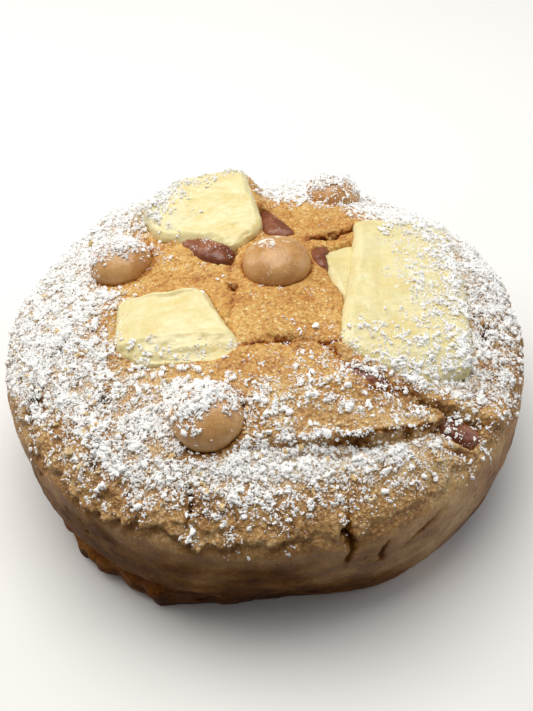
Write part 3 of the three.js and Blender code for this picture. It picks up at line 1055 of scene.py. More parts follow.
        # Down the wall and at its foot the crust is darker, partly from the bake and partly as painted shade.
        bake_and_shade += side * smoothstep(27.0, 17.0, height) + foot * smoothstep(14.0, 0.0, height)
        bake_and_shade += rim * smoothstep(25.0, 40.0, radius)

        # Painted shade makes the crust darkest down in its cracks and under its ledges.
        recess_shade = np.zeros(len(points))
        top = smoothstep(*self.top, height)
        lines = [(ledge.run, 0.6, 0.42, ledge.dark) for ledge in LEDGES]
        lines += [(crack.run, 0.0, 0.75 * crack.half, 0.7 * crack.depth) for crack in CRACKS]
        wander = self.wander(points)
        for run, aside, width, depth in lines:
            signed, share, _ = along(points[:, :2] + wander, run)
            fade = min(1.0, depth) ** 2 * ends_fade(share)
            recess_shade = np.maximum(recess_shade, top * fade * np.exp(-(((signed + aside) / width) ** 2)))
        bake_and_shade += self.recess_shade_more * recess_shade
        for middle, radii in STAINS:
            bake_and_shade += self.stain_more * top * hill(points[:, :2] + wander, middle, radii)
        # A painted contact shadow rings the foot of each drop.
        for seat in seats:
            away = np.hypot(points[:, 0] - seat.middle.x, points[:, 1] - seat.middle.y) - seat.radius
            bake_and_shade += self.drop_shadow_more * top * np.exp(-(((away - 0.2) / 0.45) ** 2))

        # The wall is paler at the right of the front, where it is painted light, and on the flap and the torn
        # shoulder over them.
        wall = smoothstep(*self.baked_wall, height)
        shoulder = hill(np.column_stack([height, radius]), (25.6, 46), (1.2, 8))
        # Painted light: the wall at the right of the front is made paler.
        bake_and_shade -= 0.13 * wall * bulge(angle, 303, 20)
        bake_and_shade -= 0.14 * bulge(angle, 220, 24) * smoothstep(10.0, 6.0, height)
        bake_and_shade -= 0.08 * shoulder * bulge(angle, self.edge_way, 30)
        for middle, radii, amount in PALER:
            bake_and_shade -= amount * hill(points, middle, radii)
        bake_and_shade += 0.4 * self.wall_cracks(points)[1] * smoothstep(38.0, 42.0, radius)
        set_attribute(piece, "bake_and_shade", bake_and_shade)
        set_attribute(piece, "open_crumb", 1.0 - 0.72 * wall)
        gold = smoothstep(*self.golden_reach, radius_of(points - np.array([*self.golden_middle, 0.0])))
        gold = np.maximum(gold, 0.8 * hill(points, (33, -20), (10, 6)))
        gold = np.maximum(gold, 0.3 * bulge(angle, self.flap_way, 30) * smoothstep(11.0, 6.0, height))
        set_attribute(piece, "gold", gold)
        cover = SugarCover().share(points[:, :2]) * smoothstep(0.15, 0.7, normals[:, 2])
        set_attribute(piece, "veil", cover)


# ---------------------------------------------------------------------------------------------------
# Toppings


@dataclass(frozen=True)
class Ridge:
    """A soft ridge on a slab, or a groove if its height is negative: a run in plan and half its width."""

    run: tuple[tuple[float, float], ...]
    height: float
    half: float


@dataclass(frozen=True)
class SlabForm:
    """How one slab set: its ridges, its dishes and its sagged front.

    The front falls by sag from where it starts, along Y, to where it ends. shows is how much of its
    edge stands out of the crust that baked up round it, melted where it sank in, edge and all, and
    pitted where bubbles broke at its top.
    """

    ridges: tuple[Ridge, ...] = ()
    melted: tuple[Patch, ...] = ()
    pitted: tuple[Patch, ...] = ()
    dishes: tuple[Patch, ...] = ()
    sag: tuple[float, float, float] = (0.0, -1.0, 0.0)
    shows: float = 0.5


SLAB_FORMS = {
    "white_slab_left": SlabForm(
        ridges=(
            Ridge(
                ((-24, -2.4), (-17, -2.1), (-11.4, -1.8), (-9.8, -4), (-8.2, -7.6), (-5.4, -12.4)), 0.75, 0.5
            ),
            Ridge(((-22, -4.4), (-16, -4.0), (-12, -4.0), (-10.8, -7)), -0.2, 0.7),
            Ridge(((-24, -12.8), (-17, -12.6), (-11, -12.6), (-5.6, -13.6)), 0.3, 0.45),
            Ridge(((-22, -15.2), (-15, -15.4), (-8, -15.6)), 0.3, 0.5),
        ),
        pitted=(((-14, -14.4), (9, 1.8), 0.16),),
        dishes=(((-16.5, -6.6), (6, 3.6), 0.4),),
        sag=(-12.6, -17.0, 0.7),
        shows=0.45,
    ),
    "white_slab_back": SlabForm(
        ridges=(
            Ridge(((0.2, 15.6), (-1, 22), (-2.9, 30.4)), 0.4, 0.8),
            Ridge(((-18, 15.8), (-13, 14.6), (-8.4, 13.8), (-4.4, 10.8)), 0.35, 0.7),
            Ridge(((-12.6, 17), (-10.4, 21), (-11, 26)), -0.25, 1.2),
        ),
        melted=(((-16, 13.5), (7.5, 5.5), 1.5),),
        pitted=(((-3.5, 14.5), (4, 3.6), 0.45), ((-4, 24), (4, 5), 0.16)),
        dishes=(((-7, 21), (5, 6), 0.35),),
        sag=(15.4, 9.6, 0.3),
        shows=0.6,
    ),
    "white_slab_right_upper": SlabForm(
        ridges=(
            Ridge(((20.2, 17.6), (19, 5), (15.6, -9.6), (15, -16)), 0.35, 0.9),
            Ridge(((33.4, 18.4), (33.9, 2), (32, -18.6)), -0.4, 0.8),
            Ridge(((24, 16), (22.6, 4), (20.4, -12)), -0.14, 1.1),
        ),
        melted=(((30, -21), (10, 3.6), 1.4),),
        pitted=(((18, -4), (3, 14), 0.12),),
        dishes=(((26, 8), (6, 8), 0.25), ((24, -10), (5, 6), 0.25)),
        shows=0.1,
    ),
    "white_slab_right_lower": SlabForm(
        ridges=(Ridge(((13, 8.4), (14.2, 1.4), (15.8, -3)), 0.3, 0.7),), shows=0.35
    ),
}


@dataclass
class WhiteSlab:
    """A slab of white chocolate that softened in the oven: rounded edges, ridges and faint dishes.

    wave and crumple are the heights of its broad waves and of the fine creases on them.
    """

    node: str
    wave: float = 0.16
    crumple: float = 0.12
    voxel: float = 0.28
    seed: int = 0

    def build(self, node: bpy.types.Object) -> bpy.types.Object:
        """Builds the slab.

        Args:
            node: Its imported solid.

        Returns:
            The finished slab, undressed.
        """
        piece = copy_of(node, f"{self.node}_chocolate")
        remesh(piece, self.voxel)
        swell(piece, 0.35)
        soften(piece, 7)
        points, normals = points_of(piece), normals_of(piece)
        up = smoothstep(0.35, 0.85, normals[:, 2])
        form = SLAB_FORMS[self.node]
        points[:, 2] -= self.sunk(piece, form)
        lift = np.zeros(len(points))
        wander = 0.5 * np.column_stack([noise(points, 3.0, self.seed + 1), noise(points, 3.0, self.seed + 2)])
        for ridge in form.ridges:
            signed, share, _ = along(points[:, :2] + wander, ridge.run)
            fade = ends_fade(share, margin=0.03, power=0.4)
            lift += ridge.height * fade * np.exp(-((signed / ridge.half) ** 2))
        for middle, radii, depth in form.dishes:
            lift -= depth * hill(points, middle, radii)
        bubbles = noise(points, 1.5, self.seed + 8) + 0.4 * noise(points, 0.8, self.seed + 9)
        bubbles = smoothstep(0.15, 0.6, bubbles)
        for middle, radii, depth in form.pitted:
            lift -= depth * hill(points, middle, radii) * bubbles
        start, end, sag = form.sag
        lift -= sag * smoothstep(start, end, points[:, 1])
        points[:, 2] += lift * up
        move = self.wave * rough(points, 6.0, self.seed, 2) * (0.4 + 0.6 * up)
        move += self.crumple * rough(points * np.array([0.4, 1.0, 1.0]), 1.3, self.seed + 5, 3)
        put_points(piece, points + normals * move[:, None])
        shade_smooth(piece)
        return piece

    @staticmethod
    def sunk(piece: bpy.types.Object, form: SlabForm) -> np.ndarray:
        """Finds how far the slab sank where it melted down, top and edge together.

        Args:
            piece: The slab.
            form: Its form.

        Returns:
            How far down each point goes.
        """
        points = points_of(piece)
        tree = BVHTree.FromPolygons(points.tolist(), [face.vertices[:] for face in piece.data.polygons])
        down = np.zeros(len(points))
        for middle, radii, depth in form.melted:
            down += depth * hill(points, middle, radii)
        centre, sky = points.mean(axis=0), points[:, 2].max() + 5.0
        inwards, thickness = 0.8, 4.0
        for index in np.flatnonzero(down > 0.02):
            arm = centre - points[index]
            x, y = points[index, :2] + inwards * arm[:2] / np.linalg.norm(arm)
            top = tree.ray_cast(Vector((x, y, sky)), Vector((0, 0, -1)))[0]
            if top is not None:
                down[index] *= 1.0 - min(1.0, max(0.0, top.z - points[index, 2]) / thickness)
        return down


@dataclass(frozen=True)
class Seat:
    """Where a turned solid stands: its middle, the way its axis points, its radius and its height."""

    middle: Vector
    axis: Vector
    radius: float
    height: float

    @classmethod
    def of(cls, node: bpy.types.Object) -> Seat:
        """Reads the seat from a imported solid, whose thinnest direction is its axis.

        Args:
            node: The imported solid.

        Returns:
            The seat.
        """
        points = points_of(node)
        points = np.unique(points.round(4), axis=0)
        middle = points.mean(axis=0)
        _, _, directions = np.linalg.svd(points - middle)
        axis = directions[2] * np.sign(directions[2][2])
        heights = (points - middle) @ axis
        reach = np.linalg.norm((points - middle) - heights[:, None] * axis, axis=1).max()
        foot = middle + axis * heights.min()
        return cls(Vector(foot), Vector(axis), float(reach), float(heights.max() - heights.min()))


@dataclass
class CaramelDrop:
    """A drop of caramel chocolate: a low dome, widest just over its flat foot, with a soft top.

    cut is how much of a ball's lower half is left under its widest place, and fat squares the dome.
    """

    node: str
    seed: int = 0
    segments: int = 96
    rings: int = 56
    cut: float = 0.42
    fat: float = 1.16

    def build(self, node: bpy.types.Object) -> bpy.types.Object:
        """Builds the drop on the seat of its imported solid.

        Args:
            node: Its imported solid.

        Returns:
            The finished drop, undressed.
        """
        seat = Seat.of(node)
        bpy.ops.object.select_all(action="DESELECT")
        bpy.ops.mesh.primitive_uv_sphere_add(segments=self.segments, ring_count=self.rings, radius=MM)
        piece = bpy.context.active_object
        piece.name = piece.data.name = f"{self.node}_chocolate"
        with edit_mode(piece):
            bpy.ops.mesh.bisect(
                plane_co=(0, 0, -self.cut * MM), plane_no=(0, 0, 1), clear_inner=True, use_fill=True
            )
        points = points_of(piece)
        level = np.clip((points[:, 2] + self.cut) / (1 + self.cut), 0.0, 1.0)
        radius = np.hypot(points[:, 0], points[:, 1])
        points[:, :2] *= (radius ** (1 / self.fat) / np.maximum(radius, 1e-6))[:, None]
        points[:, :2] *= seat.radius + 0.15
        points[:, 2] = level * (seat.height + 0.1)
        ball = points / seat.radius
        dents = 0.16 * noise(points, 5.0, self.seed) + 0.05 * noise(points, 1.8, self.seed + 2)
        wrinkle = 0.06 * noise(points * np.array([1, 1, 3.0]), 2.4, self.seed + 4)
        wrinkle *= smoothstep(0.8, 0.2, level)
        put_points(piece, points + (dents + wrinkle)[:, None] * ball)
        soften(piece, 2)
        turn = seat.axis.to_track_quat("Z", "Y").to_matrix().to_4x4()
        piece.data.transform(Matrix.Translation(seat.middle * MM) @ turn)
        shade_smooth(piece)
        return piece


@dataclass(frozen=True)
class ChunkForm:
    """How far a chunk swelled, how far it sits down in its opening, and how wide that is to it."""

    swell: float = 0.8
    lower: float = 0.4
    opening: float = 1.12


CHUNK_FORMS = {
    "milk_chunk_back_left": ChunkForm(swell=1.35, lower=0.45, opening=1.26),
    "milk_chunk_back": ChunkForm(swell=0.7, lower=0.55),
    "milk_chunk_centre": ChunkForm(),
    "milk_chunk_front": ChunkForm(swell=0.9, lower=0.6),
    "milk_chunk_front_right": ChunkForm(swell=0.45, lower=0.8, opening=0.88),
}


@dataclass
class MilkChunk:
    """A chunk of milk chocolate bared where the crust opened: lumpy, with a torn outline."""

    node: str
    seed: int = 0
    voxel: float = 0.28

    def build(self, node: bpy.types.Object) -> bpy.types.Object:
        """Builds the chunk.

        Args:
            node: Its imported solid.

        Returns:
            The finished chunk, undressed.
        """
        form = CHUNK_FORMS[self.node]
        piece = copy_of(node, f"{self.node}_chocolate")
        remesh(piece, self.voxel)
        swell(piece, form.swell)
        soften(piece, 3)
        points, normals = points_of(piece), normals_of(piece)
        move = 0.24 * rough(points, 3.2, self.seed, 2) + 0.09 * rough(points, 0.9, self.seed + 4, 2)
        points[:, 2] -= form.lower
        put_points(piece, points + normals * move[:, None])
        shade_smooth(piece)
        return piece


# ---------------------------------------------------------------------------------------------------
# Icing sugar


@dataclass(frozen=True)
class SugarCover:
    """How much of each place the sifted sugar covers, from 0 to 1.

    The middle stayed nearly bare, and from there the cover rises to the rim. A row of around has an
    angle in degrees, the radii where the sugar starts and where it is full, and its full share. The
    patches in more add their share to it, and those in less take theirs away.
    """

    around: tuple[tuple[float, float, float, float], ...] = (
        (0, 20, 36, 0.84), (20, 22, 37, 0.92), (45, 27, 37, 0.96), (70, 25, 35, 0.9), (90, 24, 34, 0.93),
        (115, 27, 37, 0.92), (135, 25, 38, 0.95), (160, 21, 34, 0.95), (180, 20, 31, 0.97),
        (200, 22, 36, 0.86), (218, 17, 29, 0.72), (240, 13, 27, 0.66), (262, 12, 31, 0.54),
        (285, 11, 33, 0.46), (305, 10, 28, 0.32), (325, 14, 33, 0.6), (345, 20, 36, 0.62),
    )
    more: tuple[Patch, ...] = (
        ((-10.4, -27.2), (4.6, 3.9), 0.75),     # cap of the front drop
        ((4, -36.2), (12, 2.4), 1.3),           # shelf under the front ledge
        ((21, -34), (6, 2.6), 0.4),             # and on to the right
        ((-8.5, 10.5), (3, 2), 0.2),            # on the chunk at the back left
        ((28, -21.4), (7, 1.6), 0.6),           # along the near edge of the right slab
        ((-25.8, 11.8), (5.6, 4.0), 0.9),       # far half of the left drop
        ((16.4, 34), (5, 3.4), 1.0),            # far half of the back drop
        ((-20, 27), (4.4, 9), 0.7),             # left half of the back slab
        ((-12, 35), (5, 3), 0.35),              # its far edge
        ((4, 31), (6, 4), 0.5),                 # crust behind it
        ((7, 27.5), (6, 3), 0.25),              # and on to the right
        ((33, -20), (5, 3), 0.4),               # near right corner of the right slab
    )
    less: tuple[Patch, ...] = (
        ((-14.5, -8.6), (9.6, 8.0), 0.95),      # left slab
        ((-4, 22), (6.5, 9), 0.95),             # right half of the back slab
        ((16, 2), (6, 15), 0.95),               # left third of the right slab
        ((27, 4), (6, 16), 0.5),                # the rest of it
        ((-25.0, 5.4), (5, 2.2), 0.95),         # near half of the left drop
        ((15.4, 29.2), (4.8, 1.6), 0.85),       # near half of the back drop
        ((-6.2, -32.4), (4.4, 1.8), 0.95),      # near half of the front drop
        ((-9.4, -34.8), (3.6, 0.8), 0.8),       # and just under it
        ((17, -27), (9, 4.4), 0.15),            # right of the front lump
        ((12, -31.4), (10, 1.6), 0.8),          # its brow
        ((-10, -19.5), (5, 2.4), 0.4),          # between the left slab and the front drop
        ((0, -20), (8, 2.6), 0.4),              # and on to the right
        ((-38, -28), (7, 7), 0.5),              # shoulder at the left of the front
        ((38, -30), (6, 5), 0.6),               # sunk corner on the right
        ((29, -25.6), (4.6, 1.2), 0.6),         # far side of the chunk in it
        ((31.5, -28.6), (4, 1.0), 0.6),         # and its near side
    )
    # Where the coarser sugar rolled off, and where the finest lies as a film on chocolate.
    smooth: tuple[Patch, ...] = (
        ((27, 0), (8, 18), 0.8), ((-14, 24), (7, 10), 0.55), ((3.6, 6), (6, 5), 0.9),
    )
    films: tuple[Patch, ...] = (
        ((28.6, 1), (7, 16), 0.5), ((-17, 26), (6, 9), 0.66), ((2.0, 6.2), (4.4, 3.2), 0.7),
        ((-24.5, -6), (2.6, 5), 0.5), ((-12.6, -15.4), (9, 1.6), 0.4),
    )
    # The cover falls off between these radii round the front, which is this many degrees wide.
    edge: tuple[float, float] = (41.0, 47.0)
    front: tuple[float, float] = (268.0, 62.0)
    fall: float = 0.8
    # The share that the bare middle has, and the most layers that lie anywhere.
    least: float = 0.006
    most: float = 1.5

    def share(self, plan: np.ndarray) -> np.ndarray:
        """Finds the share that is covered.

        Args:
            plan: Points in plan, one row each.

        Returns:
            The share at each.
        """
        angle, radius = angle_of(plan), radius_of(plan)
        angles, *columns = np.array(self.around).T
        angles = np.append(angles, 360.0)
        start, full, level = (np.interp(angle, angles, np.append(c, c[0])) for c in columns)
        rise = np.clip((radius - start) / (full - start), 0.0, 1.0)
        fall = 1.0 - bulge(angle, *self.front) * self.fall * smoothstep(*self.edge, radius)
        cover = self.least + level * rise * rise * (3 - 2 * rise) * fall
        for middle, radii, amount in self.more:
            cover = cover + amount * hill(plan, middle, radii)
        return np.clip(cover * self.left_by(self.less, plan), 0.0, 1.0)

    @staticmethod
    def left_by(patches: Sequence[Patch], plan: np.ndarray) -> np.ndarray:
        """Finds the share of their sugar that places keep.

        Args:
            patches: Where sugar is shed, and how much of it.
            plan: Points in plan, one row each.

        Returns:
            The share that is left at each.
        """
        share = np.ones(len(plan))
        for middle, radii, amount in patches:
            share *= 1 - amount * np.minimum(1.0, 1.6 * hill(plan, middle, radii))
        return share

    def film(self, plan: np.ndarray) -> np.ndarray:
        """Finds how dusty chocolate is with the finest sugar.

        Args:
            plan: Points in plan, one row each.

        Returns:
            How dusty each is, from 0 to 1.
        """
        cover = 0.25 * self.share(plan)
        for middle, radii, amount in self.films:
            cover = cover + amount * hill(plan, middle, radii)
        return np.clip(cover, 0.0, 1.0)

    def layers(self, plan: np.ndarray) -> np.ndarray:
        """How many layers of scattered sugar give the share at each point in plan."""
        return np.minimum(-np.log(1.0 - 0.96 * self.share(plan)), self.most)


@dataclass
class Ground:
    """The cookie's top as heights on a square grid in plan, which rise as sugar lands on them.

    heights rise, bare stay as they were measured, ways are the directions that the bare ground faces,
    and crust is where the first piece measured, the dough, is the highest.
    """

    span: float = 98.0
    step: float = 0.2
    sky: float = 80.0
    # How thick the sugar lies before more of it sinks in between.
    thick: float = 0.3
    # How far up each thing's middle comes to lie, for its height.
    sit: float = 0.25
    side: int = 0
    heights: np.ndarray = field(default_factory=lambda: np.zeros(0))
    bare: np.ndarray = field(default_factory=lambda: np.zeros(0))
    ways: np.ndarray = field(default_factory=lambda: np.zeros(0))
    crust: np.ndarray = field(default_factory=lambda: np.zeros(0))

    @classmethod
    def under(cls, pieces: Sequence[bpy.types.Object]) -> Ground:
        """Measures the highest surface with a ray straight down at each grid point.

        Args:
            pieces: The pieces that things can land on, the dough first.

        Returns:
            The ground.
        """
        ground = cls()
        ground.side = round(ground.span / ground.step) + 1
        line = np.linspace(-ground.span / 2, ground.span / 2, ground.side)
        ground.step = line[1] - line[0]
        down = Vector((0, 0, -1))
        heights = np.full((ground.side, ground.side), -1.0)
        ground.crust = np.zeros(heights.shape, bool)
        for piece in pieces:
            piece.data.calc_loop_triangles()
            flat = np.empty(3 * len(piece.data.loop_triangles), np.int32)
            piece.data.loop_triangles.foreach_get("vertices", flat)
            points = points_of(piece)
            tree = BVHTree.FromPolygons(points.tolist(), flat.reshape(-1, 3).tolist(), all_triangles=True)
            low, high = points.min(axis=0), points.max(axis=0)
            for row in np.flatnonzero((line > low[1]) & (line < high[1])):
                for column in np.flatnonzero((line > low[0]) & (line < high[0])):
                    place = tree.ray_cast(Vector((line[column], line[row], ground.sky)), down)[0]
                    if place is not None and place.z > heights[row, column]:
                        heights[row, column] = place.z
                        ground.crust[row, column] = piece is pieces[0]
        rise, run = np.gradient(heights, ground.step)
        ways = np.stack([-run, -rise, np.ones_like(rise)], axis=2)
        ground.heights, ground.bare = heights, heights.copy()
        ground.ways = ways / np.linalg.norm(ways, axis=2, keepdims=True)
        return ground

    def cells(self, plan: np.ndarray) -> tuple[np.ndarray, np.ndarray]:
        """Finds the nearest grid points.

        Args:
            plan: Points in plan, one row each.

        Returns:
            The grid's row and column for each.
        """
        near = np.rint((plan + self.span / 2) / self.step).astype(int).clip(0, self.side - 1)
        return near[:, 1], near[:, 0]

    def land(self, plan: np.ndarray, across: np.ndarray, flat: float) -> tuple[np.ndarray, np.ndarray]:
        """Lands round things on the ground, which then includes them.

        Args:
            plan: Where they come down.
            across: How wide each is.
            flat: How high they are for their width.

        Returns:
            Their middles, and the way the ground faces under each.
        """
        cells = self.cells(plan)
        half, last, corner = 0.5 * across, self.side - 1, self.span / 2
        low = np.minimum(self.heights[cells], self.bare[cells] + self.thick)
        middles = np.column_stack([plan, low + self.sit * flat * across])
        reach = math.ceil(half.max() / self.step)
        for row_shift, column_shift in itertools.product(range(-reach, reach + 1), repeat=2):
            rows, columns = (cells[0] + row_shift).clip(0, last), (cells[1] + column_shift).clip(0, last)
            away = np.hypot(
                columns * self.step - corner - plan[:, 0], rows * self.step - corner - plan[:, 1]
            )
            dome = flat * np.sqrt(np.maximum(half**2 - away**2, 0.0))
            top = np.where(away < half, middles[:, 2] + dome, -1.0)
            np.maximum.at(self.heights, (rows, columns), top)
        return middles, self.ways[cells]


class SugarKind(Enum):
    """The sizes that sifted sugar falls in."""

    CLUMP = "clumps"
    POPCORN = "popcorn"
    BEAD = "beads"
    GRAIN = "grains"
    DUST = "dust"


@dataclass(frozen=True)
class SugarSize:
    """One kind of sugar.

    It is from smallest to largest millimetres across. A shape of one bead is a crystal, and one of more
    is a clump of them. gather is how many lie together in one spot and spread how far round it, in
    their own widths. stray is how much falls even on the bare middle, against a full layer.
    """

    smallest: float
    largest: float
    faces: int
    beads: int
    count: int
    gather: float
    spread: float
    stray: float


SUGAR_SIZES = {
    SugarKind.CLUMP: SugarSize(0.7, 1.25, 56, 9, 3_500, 1.3, 0.5, 0.0),
    SugarKind.POPCORN: SugarSize(0.42, 0.82, 28, 4, 7_000, 3.5, 0.75, 0.002),
    SugarKind.BEAD: SugarSize(0.32, 0.55, 8, 1, 24_500, 10.0, 0.85, 0.004),
    SugarKind.GRAIN: SugarSize(0.22, 0.38, 8, 1, 24_500, 5.0, 1.2, 0.012),
    SugarKind.DUST: SugarSize(0.12, 0.26, 6, 1, 33_000, 2.0, 1.5, 0.025),
}


@dataclass
class Shapes:
    """A few small shapes of one kind, as vertices and triangles, which scattering copies."""

    shapes: list[tuple[np.ndarray, np.ndarray]] = field(default_factory=list)
    variants: int = 8
    # How unevenly the points of a clump and of a crystal lie, in shares of their width.
    clump_jitter: float = 0.02
    crystal_jitter: float = 0.06

    @classmethod
    def made_of(cls, faces: int, beads: int, rng: np.random.Generator) -> Shapes:
        """Models the shapes, each 1 mm across.

        Args:
            faces: How many triangles each has.
            beads: How many beads are pressed together in each; one bead is a crystal.
            rng: The source of their differences.

        Returns:
            The shapes.
        """
        made = cls()
        for _ in range(made.variants):
            piece = made.clump(faces, beads, rng) if beads > 1 else made.crystal(faces)
            modify(piece, "TRIANGULATE")
            points = points_of(piece)
            points += rng.normal(0, made.clump_jitter if beads > 1 else made.crystal_jitter, points.shape)
            points -= (points.max(axis=0) + points.min(axis=0)) / 2
            points /= (points.max(axis=0) - points.min(axis=0))[:2].max()
            flat = np.empty(3 * len(piece.data.polygons), np.int32)
            piece.data.polygons.foreach_get("vertices", flat)
            made.shapes.append((points, flat.reshape(-1, 3)))
            bpy.data.objects.remove(piece)
        return made

    @staticmethod
    def crystal(faces: int) -> bpy.types.Object:
        """Models a four-sided crystal, about 1 mm across.

        Args:
            faces: How many triangles it may have. With more than 6 its underside is pointed too.

        Returns:
            The crystal.
        """
        bpy.ops.object.select_all(action="DESELECT")
        bpy.ops.mesh.primitive_cone_add(vertices=4, radius1=0.5 * MM, depth=0.5 * MM)
        piece = bpy.context.active_object
        if faces > 6:
            corners = len(piece.data.vertices)
            with edit_mode(piece):
                bpy.ops.mesh.select_all(action="DESELECT")
            foot = np.array([face.normal.z < -0.9 for face in piece.data.polygons])
            piece.data.polygons.foreach_set("select", foot)
            bpy.context.tool_settings.mesh_select_mode = (False, False, True)
            with edit_mode(piece, everything=False):
                bpy.ops.mesh.poke(offset=0.0)
            points = points_of(piece)
            points[corners:, 2] -= 0.4
            put_points(piece, points)
        return piece

    @staticmethod
    def clump(faces: int, count: int, rng: np.random.Generator) -> bpy.types.Object:
        """Presses beads together into one branching skin, about 1 mm across.

        Args:
            faces: How many triangles the skin may have.
            count: How many beads there are, each stuck to an earlier one.
            rng: The source of their sizes and places.

        Returns:
            The clump.
        """
        parts, spots = [], [np.zeros(3)]
        for _ in range(count):
            bpy.ops.object.select_all(action="DESELECT")
            bpy.ops.mesh.primitive_ico_sphere_add(
                subdivisions=2, radius=rng.uniform(0.12, 0.24) * MM, location=spots[-1] * MM
            )
            parts.append(bpy.context.active_object)
            way = rng.normal(size=3) * np.array([1.0, 1.0, 0.5])
            spots.append(spots[rng.integers(len(spots))] + 0.26 * way / np.linalg.norm(way))
        only(*parts)
        bpy.ops.object.join()
        piece = bpy.context.active_object
        bpy.ops.object.transform_apply()
        remesh(piece, 0.07)
        thin_to(piece, faces)
        return piece

    def scattered(
        self, name: str, places: np.ndarray, turns: np.ndarray, sizes: np.ndarray, rng: np.random.Generator
    ) -> bpy.types.Object:
        """Joins copies of the shapes into one mesh.

        Args:
            name: The new piece's name.
            places: Where each copy goes, in millimetres.
            turns: Each copy's rotation, a 3 by 3 matrix with its own stretch.
            sizes: How many millimetres across each copy is.
            rng: Picks the shape of each copy.

        Returns:
            The joined mesh.
        """
        pick = rng.integers(0, len(self.shapes), len(places))
        vertices, faces, start = [], [], 0
        for index, (points, triangles) in enumerate(self.shapes):
            chosen = np.flatnonzero(pick == index)
            moved = np.einsum("nij,vj->nvi", turns[chosen] * sizes[chosen, None, None], points)
            moved += places[chosen, None, :]
            offsets = start + np.arange(len(chosen)) * len(points)
            vertices.append(moved.reshape(-1, 3))
            faces.append((triangles[None] + offsets[:, None, None]).reshape(-1, 3))
            start += len(chosen) * len(points)
        mesh = bpy.data.meshes.new(name)
        vertices, faces = np.concatenate(vertices) * MM, np.concatenate(faces)
        mesh.vertices.add(len(vertices))
        mesh.vertices.foreach_set("co", vertices.astype(np.float32).ravel())
        mesh.loops.add(3 * len(faces))
        mesh.loops.foreach_set("vertex_index", faces.astype(np.int32).ravel())
        mesh.polygons.add(len(faces))
        mesh.polygons.foreach_set("loop_start", np.arange(0, 3 * len(faces), 3, dtype=np.int32))
        mesh.update(calc_edges=True)
        piece = bpy.data.objects.new(name, mesh)
        bpy.context.scene.collection.objects.link(piece)
        only(piece)
        bpy.ops.object.shade_flat()
        return piece


def lying(ways: np.ndarray, rng: np.random.Generator, squash: tuple[float, float]) -> np.ndarray:
    """Random turns and stretches for things that lie on a surface.

    Args:
        ways: The surface's direction at each.
        rng: The source of the turns.
        squash: The least and most height for their width.

    Returns:
        A 3 by 3 matrix for each.
    """
    count = len(ways)
    helper = np.where(np.abs(ways[:, :1]) < 0.9, np.array([[1.0, 0, 0]]), np.array([[0, 1.0, 0]]))
    side = np.cross(ways, helper)
    side /= np.linalg.norm(side, axis=1, keepdims=True)
    other = np.cross(ways, side)
    turn = rng.random(count) * 2 * np.pi
    first = side * np.cos(turn)[:, None] + other * np.sin(turn)[:, None]
    second = np.cross(ways, first)
    frame = np.stack([first, second, ways], axis=2)
    stretch = np.stack(
        [rng.uniform(0.75, 1.25, count), rng.uniform(0.75, 1.25, count), rng.uniform(*squash, count)], axis=1
    )
    return frame * stretch[:, None, :]


@dataclass
class LooseCrumbs:
    """Pale crumbs of dough that broke off the crust and lie on it, mostly on its left and front.

    They are from smallest to largest millimetres across, and lie between two radii, mostly towards one
    angle and this many degrees to each side of it.
    """

    tries: int = 420
    smallest: float = 0.5
    largest: float = 1.3
    faces: int = 40
    beads: int = 5
    flat: float = 0.8
    reach: tuple[float, float] = (24.0, 45.5)
    towards: float = 225.0
    aside: float = 62.0
    # A crumb stays where the crust faces up at least this much.
    level: float = 0.5

    def build(self, ground: Ground) -> bpy.types.Object:
        """Scatters the crumbs, before any sugar.

        Args:
            ground: The cookie's top, which the crumbs land on.

        Returns:
            One mesh with all of them.
        """
        rng = np.random.default_rng(7)
        turn = np.radians(self.towards + self.aside * rng.normal(size=self.tries))
        radius = np.sqrt(rng.uniform(self.reach[0] ** 2, self.reach[1] ** 2, self.tries))
        plan = np.column_stack([radius * np.cos(turn), radius * np.sin(turn)])
        cells = ground.cells(plan)
        plan = plan[ground.crust[cells] & (ground.ways[cells][:, 2] > self.level)]
        across = self.smallest + (self.largest - self.smallest) * rng.random(len(plan)) ** 2
        middles, ways = ground.land(plan, across, self.flat)
        turns = lying(ways, rng, squash=(0.7, 1.0))
        shapes = Shapes.made_of(self.faces, self.beads, rng)
        piece = shapes.scattered("dough_crumbs", middles, turns, across, rng)
        for name, value in (("bake_and_shade", 0.1), ("gold", 0.15), ("veil", 0.3), ("open_crumb", 0.5)):
            set_attribute(piece, name, np.full(len(piece.data.vertices), value))
        return piece


